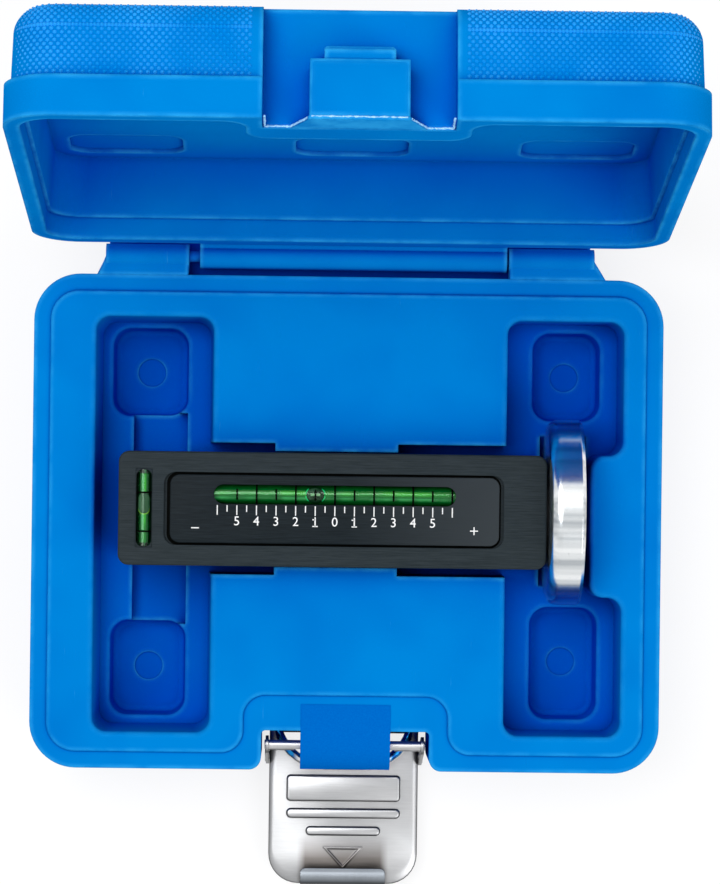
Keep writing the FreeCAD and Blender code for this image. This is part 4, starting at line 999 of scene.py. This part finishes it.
def lidRows():
    # rows up the front wall and round its edge, and rows across the top
    draft = math.radians(dots["draft"])
    bend = dots["edgeRound"]
    topY = dots["frontY"] + (dots["lidTop"] - dots["shoulder"]) * math.tan(draft)
    tangent = bend * math.tan((math.pi / 2 - draft) / 2)
    startZ = dots["lidTop"] - tangent * math.cos(draft)
    centreY = topY + tangent
    centreZ = dots["lidTop"] - bend
    front = []
    z = dots["frontLow"]
    while z < startZ:
        front.append((dots["frontY"] + (z - dots["shoulder"]) * math.tan(draft), z, math.pi / 2 - draft))
        z += dots["row"]
    angle = draft
    while angle < math.pi / 2:
        front.append((centreY - bend * math.cos(angle), centreZ + bend * math.sin(angle),
                      math.pi / 2 - angle))
        angle += dots["row"] / bend
    top = []
    y = centreY + dots["row"] / 2
    while y < dots["backEnd"]:
        top.append((y, dots["lidTop"], 0))
        y += dots["row"]
    return [[row for row in part if farBack(row) < dots["farthest"]] for part in (front, top)]


frontRows, topRows = lidRows()
dotRows("leftPadDots", *dots["padLeft"], frontRows)
dotRows("rightPadDots", *dots["padRight"], frontRows)
half = len(topRows) // 4 * 2  # even, so that the stagger goes on
dotRows("topDotsFront", *dots["topSpan"], topRows[:half])
dotRows("topDotsBack", *dots["topSpan"], topRows[half:])
cornerDots("leftCornerDots", -1, frontRows, (dots["pitch"], dots["pitch"] / 2))
cornerDots("rightCornerDots", 1, frontRows,
           [afterLine(*dots["padRight"], shift) for shift in (0, dots["pitch"] / 2)])
print("lid dots made:", len(frontRows), "front rows and", len(topRows), "top rows")


# stamped latch lever

lever = {
    "middle": 0.3,
    "half": 21.3,
    "tip": -103.69,
    "back": -58.5,
    "pivot": -67.1,
    "pivotHigh": 5.19,
    "top": 7.39,
    "low": 3.0,
    "corner": 8.6,
    "flange": 1.3,
    "flangeFront": 2.0,
    "flangeDrop": 0.55,
    "soft": 0.45,
    "sheet": 0.8,
    "windowHalf": 19.2,
    "windowFront": 2.6,
    "windowRound": 14.0,
    "windowLow": 4.0,
    "windowTall": 6,
    "rimRound": 1.25,
    "rimHigh": 7.15,
    "rimBack": 2.6,
    "ribRise": 0.7,
    "ribSunk": 0.2,
    "ribSoft": 0.55,
    # each rib's length, place in front of the pivot, depth and corner
    "ribs": ((32.4, 9.15, 7.4, 1.1), (32.4, 16.35, 2.7, 1.3), (21.2, 21.4, 2.5, 1.2)),
    "arrowAt": 28.05,
    "arrowSize": (11.4, 6.2),
    "arrowRise": 0.4,
    "arrowRim": 0.42,
    "arrowGroove": (0.32, -0.34),
    "tabHalf": 12.1,
    "tabCorner": 1.6,
    "tab": ((-103.15, -0.6), (-103.15, 3.6), (-102.7, 4.5), (-101.9, 5.0), (-100.9, 5.15), (-99.9, 5.0),
            (-98.8, 4.6)),  # Y, and height over top
    "barAt": (7.5, -1.9),
    "barRadius": 1.1,
    "barEdge": 0.3,
}


def makePan():
    middle, tip, back = lever["middle"], lever["tip"], lever["back"]
    pan = flatPlate(middle - lever["half"], middle + lever["half"], tip, back, lever["top"],
                    lever["corner"], lambda vertex: vertex.co.y < -0.1)
    edit()
    bpy.ops.mesh.inset(thickness=lever["flange"] * mm)
    middleY = (tip + back) / 2 * mm
    backY = (back - 0.01) * mm
    inBack = (back - lever["flange"] - 0.01) * mm
    inner = [vertex.co.copy() for vertex in bmesh.from_edit_mesh(pan.data).verts if vertex.select]
    pick(pan, "verts", lambda vertex: any((vertex.co - c).length < 1e-7 for c in inner)
         and vertex.co.y < middleY)
    move(0, lever["flangeFront"], 0)
    pick(pan, "verts", lambda vertex: inBack < vertex.co.y < backY)
    move(0, lever["flange"], 0)
    pick(pan, "faces", lambda face: face.calc_area() < 1e-9)
    bpy.ops.mesh.delete(type="FACE")
    bpy.ops.mesh.select_mode(type="EDGE")
    pick(pan, "edges", lambda edge: edge.is_boundary and not all(v.co.y > backY for v in edge.verts))
    move(0, 0, -lever["flangeDrop"])
    extrudeEdges(0, lever["low"] - lever["top"] + lever["flangeDrop"])
    finishEdit()
    soft = pan.modifiers.new("soft", "BEVEL")
    soft.width = lever["soft"] * mm
    soft.segments = 3
    soft.limit_method = "ANGLE"
    soft.angle_limit = math.radians(25)
    thicken(pan, lever["sheet"], -1)
    applyAll(pan)
    window = flatPlate(middle - lever["windowHalf"], middle + lever["windowHalf"],
                       lever["pivot"] - lever["windowFront"], back + 2, lever["windowLow"],
                       lever["windowRound"], lambda vertex: vertex.co.y < (lever["pivot"] - 1) * mm)
    rim = copied(window)
    cutOut(pan, window, lever["windowTall"])
    smooth(35)
    return pan, rim


def makeWindowRim(rim):
    # rolled edge round the window
    activate(rim)
    edit("EDGE")
    bpy.ops.mesh.select_all(action="SELECT")
    bpy.ops.mesh.delete(type="ONLY_FACE")
    pick(rim, "edges", lambda edge: all(v.co.y > lever["back"] * mm for v in edge.verts))
    bpy.ops.mesh.delete(type="EDGE")
    bpy.ops.mesh.select_mode(type="VERT")
    pick(rim, "verts", lambda vertex: vertex.co.y > lever["back"] * mm)
    move(0, -lever["rimBack"], 0)
    bpy.ops.mesh.select_all(action="SELECT")
    move(0, 0, lever["rimHigh"] - lever["windowLow"])
    finishEdit(False)
    bpy.ops.object.convert(target="CURVE")
    rim = bpy.context.object
    rim.data.bevel_depth = lever["rimRound"] * mm
    rim.data.bevel_resolution = 4
    rim.data.use_fill_caps = True
    bpy.ops.object.convert(target="MESH")
    bpy.ops.object.shade_smooth()
    return coat(bpy.context.object, "rimSteel")


def strip(left, right, points, thick, corner, side=0):
    # sheet bent along points in Y and Z, with its last corners rounded
    first, second = points[0], points[1]
    piece = flatPlate(left, right, -0.5, 0.5, 0)
    edit("EDGE")
    pick(piece, "edges", lambda edge: all(v.co.y > 0 for v in edge.verts))
    move(0, second[0] - 0.5, second[1])
    pick(piece, "edges", lambda edge: all(abs(v.co.y + 0.5 * mm) < 1e-6 for v in edge.verts))
    move(0, first[0] + 0.5, first[1])
    here = second
    pick(piece, "edges", lambda edge: all((v.co.yz - Vector(second) * mm).length < 1e-6 for v in edge.verts))
    for there in points[2:]:
        extrudeEdges(there[0] - here[0], there[1] - here[1])
        here = there
    bpy.ops.mesh.select_mode(type="VERT")
    pick(piece, "verts", lambda vertex: (vertex.co.yz - Vector(here) * mm).length < 1e-6)
    bevel(corner, 5, "VERTICES")
    finishEdit()
    thicken(piece, thick, side)
    applyAll(piece)
    smooth(40)
    return piece


def makeArrow():
    wide, deep = lever["arrowSize"]
    bpy.ops.mesh.primitive_circle_add(vertices=3, radius=1, fill_type="NGON")
    arrow = placed((lever["middle"], lever["pivot"] - lever["arrowAt"], lever["top"]),
                   (wide / math.sqrt(3), deep / 1.5, 1), (0, 0, math.pi))
    edit()
    extrude(lever["arrowRise"])
    bpy.ops.mesh.inset(thickness=lever["arrowRim"] * mm)
    groove, depth = lever["arrowGroove"]
    bpy.ops.mesh.inset(thickness=groove * mm, depth=depth * mm)
    finishEdit(False)
    return arrow


def makeBar():
    # pin between the lever's ends that bears on the catch
    bpy.ops.mesh.primitive_cylinder_add(vertices=32, radius=lever["barRadius"] * mm,
                                        depth=2 * lever["half"] * mm)
    behind, above = lever["barAt"]
    bar = placed((lever["middle"], lever["pivot"] + behind, lever["pivotHigh"] + above),
                 turn=(0, math.pi / 2, 0))
    edit()
    pick(bar, "faces", lambda face: abs(face.normal.x) > 0.9)
    bevel(lever["barEdge"], 2)
    finishEdit(False)
    smooth(35)
    return coat(bar, "pinSteel")


def makeLever():
    pan, rim = makePan()
    middle, top = lever["middle"], lever["top"]
    pieces = [pan]
    for long, at, deep, corner in lever["ribs"]:
        y = lever["pivot"] - at
        pieces.append(pillow(middle - long / 2, middle + long / 2, y - deep / 2, y + deep / 2,
                             top - lever["ribSunk"], top + lever["ribRise"], corner * 0.97,
                             lever["ribSoft"]))
    pieces.append(makeArrow())
    bar = makeBar()
    body = coat(joined("latchLever", pieces), "latchSteel")
    tab = strip(middle - lever["tabHalf"], middle + lever["tabHalf"],
                [(y, top + rise) for y, rise in lever["tab"]], lever["sheet"], lever["tabCorner"])
    return joined("latchLever", [body, coat(tab, "tabSteelShaded"), makeWindowRim(rim), bar])


dress(makeLever(), None, "latch_lever", "latch_lever")
print("latch lever made")


# catch, its lip and the flash along the parting line

catch = {
    "middle": 0.3,
    "half": 12.5,
    "neckHalf": 8.95,
    "low": 35.25,
    "shoulder": 50.8,
    "high": 54.7,
    "front": -68.1,
    "neckFront": -65.8,  # leaves room for the lever's bar
    "back": -58.6,
    "round": 1.3,
    "neckSunk": 4,
    "neckRound": 1.04,
    "lipHalf": 17.0,
    "lipThick": 1.0,
    "lipSunk": 0.05,
    "lipEdge": 0.25,
    "flash": 0.34,
    "flashLift": 0.45,
    "flashRagged": 1.6,  # shares of its thickness
    "flashBack": -58.9,
    "flashEnd": (23.4, -68.5),
}


def softBox(left, right, front, back, low, high, rounding):
    bpy.ops.mesh.primitive_cube_add(size=1)
    box = placed(((left + right) / 2, (front + back) / 2, (low + high) / 2),
                 (right - left, back - front, high - low))
    edit()
    bevel(rounding, 4)
    finishEdit(False)
    smooth(40)
    return box


def intoLid(name, pieces):
    # from the closed lid's place to that of the open one
    for piece in pieces:
        piece.matrix_world = lidTurn @ piece.matrix_world
        settle(piece)
    return joined(name, pieces)


def makeCatch():
    x, half, neck = catch["middle"], catch["half"], catch["neckHalf"]
    front, back, shoulder = catch["front"], catch["back"], catch["shoulder"]
    block = softBox(x - half, x + half, front, back, catch["low"], shoulder, catch["round"])
    top = softBox(x - neck, x + neck, catch["neckFront"], back, shoulder - catch["neckSunk"],
                  catch["high"], catch["neckRound"])
    lip = flatPlate(x - catch["lipHalf"], x + catch["lipHalf"], front, back,
                    catch["low"] - catch["lipSunk"])
    edit("VERT")
    pick(lip, "verts", lambda vertex: vertex.co.y < (front + 1) * mm)
    bpy.ops.transform.resize(value=(half / catch["lipHalf"], 1, 1))
    bpy.ops.mesh.select_all(action="SELECT")
    extrude(catch["lipThick"])
    bevel(catch["lipEdge"], 2)
    finishEdit()
    return intoLid("lidCatch", [block, top, lip])


def bead(points, thick, seed):
    # ragged thread of flash along points
    curve = bpy.data.curves.new("flash", "CURVE")
    curve.dimensions = "3D"
    line = curve.splines.new("POLY")
    line.points.add(len(points) - 1)
    for spot, place in zip(line.points, points):
        spot.co = (*[c * mm for c in place], 1)
    curve.bevel_depth = thick * mm
    curve.bevel_resolution = 1
    curve.use_fill_caps = True
    activate(addObject("flash", curve))
    bpy.ops.object.convert(target="MESH")
    piece = bpy.context.object
    edit()
    bpy.ops.mesh.subdivide(number_cuts=2)
    finishEdit(False)
    grain = bpy.data.textures.new("flashGrain", "CLOUDS")
    grain.noise_scale = (0.7 + 0.1 * seed) * mm
    ragged = piece.modifiers.new("ragged", "DISPLACE")
    ragged.texture = grain
    ragged.strength = thick * catch["flashRagged"] * mm
    ragged.mid_level = 0.62
    applyAll(piece)
    return piece


def fine(points, step=0.9):
    # the same path with points at most step apart
    out = [Vector(points[0])]
    for a, b in zip(points, points[1:]):
        a, b = Vector(a), Vector(b)
        count = max(1, int((b - a).length / step))
        out += [a + (b - a) * (i + 1) / count for i in range(count)]
    return out


def makeFlash():
    x, half, front, back = catch["middle"], catch["half"], catch["front"], catch["flashBack"]
    z = catch["low"] + catch["flashLift"]
    endX, endY = catch["flashEnd"]
    made = []
    for side in (-1, 1):
        path = ((endX, endY), (endX, back), (catch["lipHalf"], back), (half + 0.3, front + 0.6))
        made.append(bead(fine([(x + side * across, y, z) for across, y in path]), catch["flash"], side + 1))
    made.append(bead(fine([(x - half + 0.6, front + 0.1, z + 0.3), (x + half - 0.6, front + 0.1, z + 0.3)]),
                     catch["flash"] * 0.8, 3))
    return intoLid("catchFlash", made)


dress(makeCatch(), "caseBlue", "lid")
dress(makeFlash(), "flashPale", "lid")
print("catch and flash made")


# scale plate, smaller than its recess, on a black sheet that paints the shadow in the gap round it, and the
# corners of the short level's slot

plate = {
    "outline": (-49.1, 42.05, -5.55, 13.35),
    "low": plateLow[2] + 0.08,
    "high": plateHigh[2],
    "corner": 2.7,
    "edge": 0.25,
    "window": (-37.0, 30.0, 5.3, 10.7),
    "windowRound": 2.69,
}
# painted shadow: black sheet under the plate, seen in the gap round it
shadowSheet = {
    "outline": (-50.0, 42.5, -6.2, 14.0),
    "low": 45.2,
    "high": 45.26,
    "corner": 3.1,
    "edge": 0.02,
    "window": plate["window"],
    "windowRound": plate["windowRound"],
}
slot = {
    "outline": (-58.6, -54.0, -6.95, 14.75),
    "low": 46.70,
    "high": 46.785,
    "corner": 0,
    "edge": 0.01,
    "window": (-58.45, -54.15, -6.75, 14.55),
    "windowRound": 1.9,
}


def framed(name, pad):
    # pad with a window cut through it
    piece = pillow(*pad["outline"], pad["low"], pad["high"], pad["corner"], pad["edge"])
    window = flatPlate(*pad["window"], pad["low"] - 1, pad["windowRound"])
    cutOut(piece, window, pad["high"] - pad["low"] + 2)
    return joined(name, [piece])


dress(framed("scalePlate", plate), "plateBlack", "gauge", "camber_plate")
dress(framed("recessShadowSheet", shadowSheet), "markAndShadowBlack", "gauge")
dress(framed("slotCorners", slot), "barBlack", "gauge")
print("scale plate and slot corners made")


# strap over the latch's rod, level with the deck before it bends down

strap = {
    "left": -12.2,
    "right": 12.9,
    "points": ((-50.6, 35.11), (-58.3, 35.08), (-60.6, 34.8), (-62.8, 34.2), (-64.8, 33.3), (-66.6, 32.0),
               (-68.0, 30.3), (-68.9, 28.5), (-69.35, 26.8)),
    "thick": 2.4,
    "corner": 0.6,
}
sheet = strip(strap["left"], strap["right"], strap["points"], strap["thick"], strap["corner"], -1)
dress(joined("latchStrap", [sheet]), "strapBlueShaded", "case")
print("strap made")


# ledges below the hinge that close the gap to the lid, and shoulders that bring its blocks up to the rim

hinge = {
    "ledge": (69.5, 79.6, 20, 27),  # front, back, low and high
    "ledgeEdge": 0.5,
    "ledges": ((-67.6, -41.0), (43.4, 67.8)),  # left and right ends
    "cheek": (68.7, 74.2, 31.0, 35.05),
    "cheekEdge": 0.45,
    "cheeks": ((-68.2, -45.1, -2.2), (44.7, 68.4, 3.4)),  # left, right and how far the outer side splays
}


def makeLedges():
    return joined("hingeLedges", [slab(left, right, *hinge["ledge"], hinge["ledgeEdge"])
                                  for left, right in hinge["ledges"]])


def makeCheeks():
    made = []
    for left, right, splay in hinge["cheeks"]:
        block = slab(left, right, *hinge["cheek"])
        outer = left if splay < 0 else right
        edit("VERT")
        pick(block, "verts", lambda vertex: abs(vertex.co.x - outer * mm) < 1e-5
             and vertex.co.y < (hinge["cheek"][0] + 1) * mm)
        move(splay, 0, 0)
        pick(block, "faces", lambda face: face.normal.z > 0.9)
        bevel(hinge["cheekEdge"], 3)
        finishEdit(False)
        made.append(block)
    return joined("hingeCheeks", made)


dress(makeLedges(), "caseBlue", "case")
dress(makeCheeks(), "caseBlue", "case")
print("hinge ledges and shoulders made")
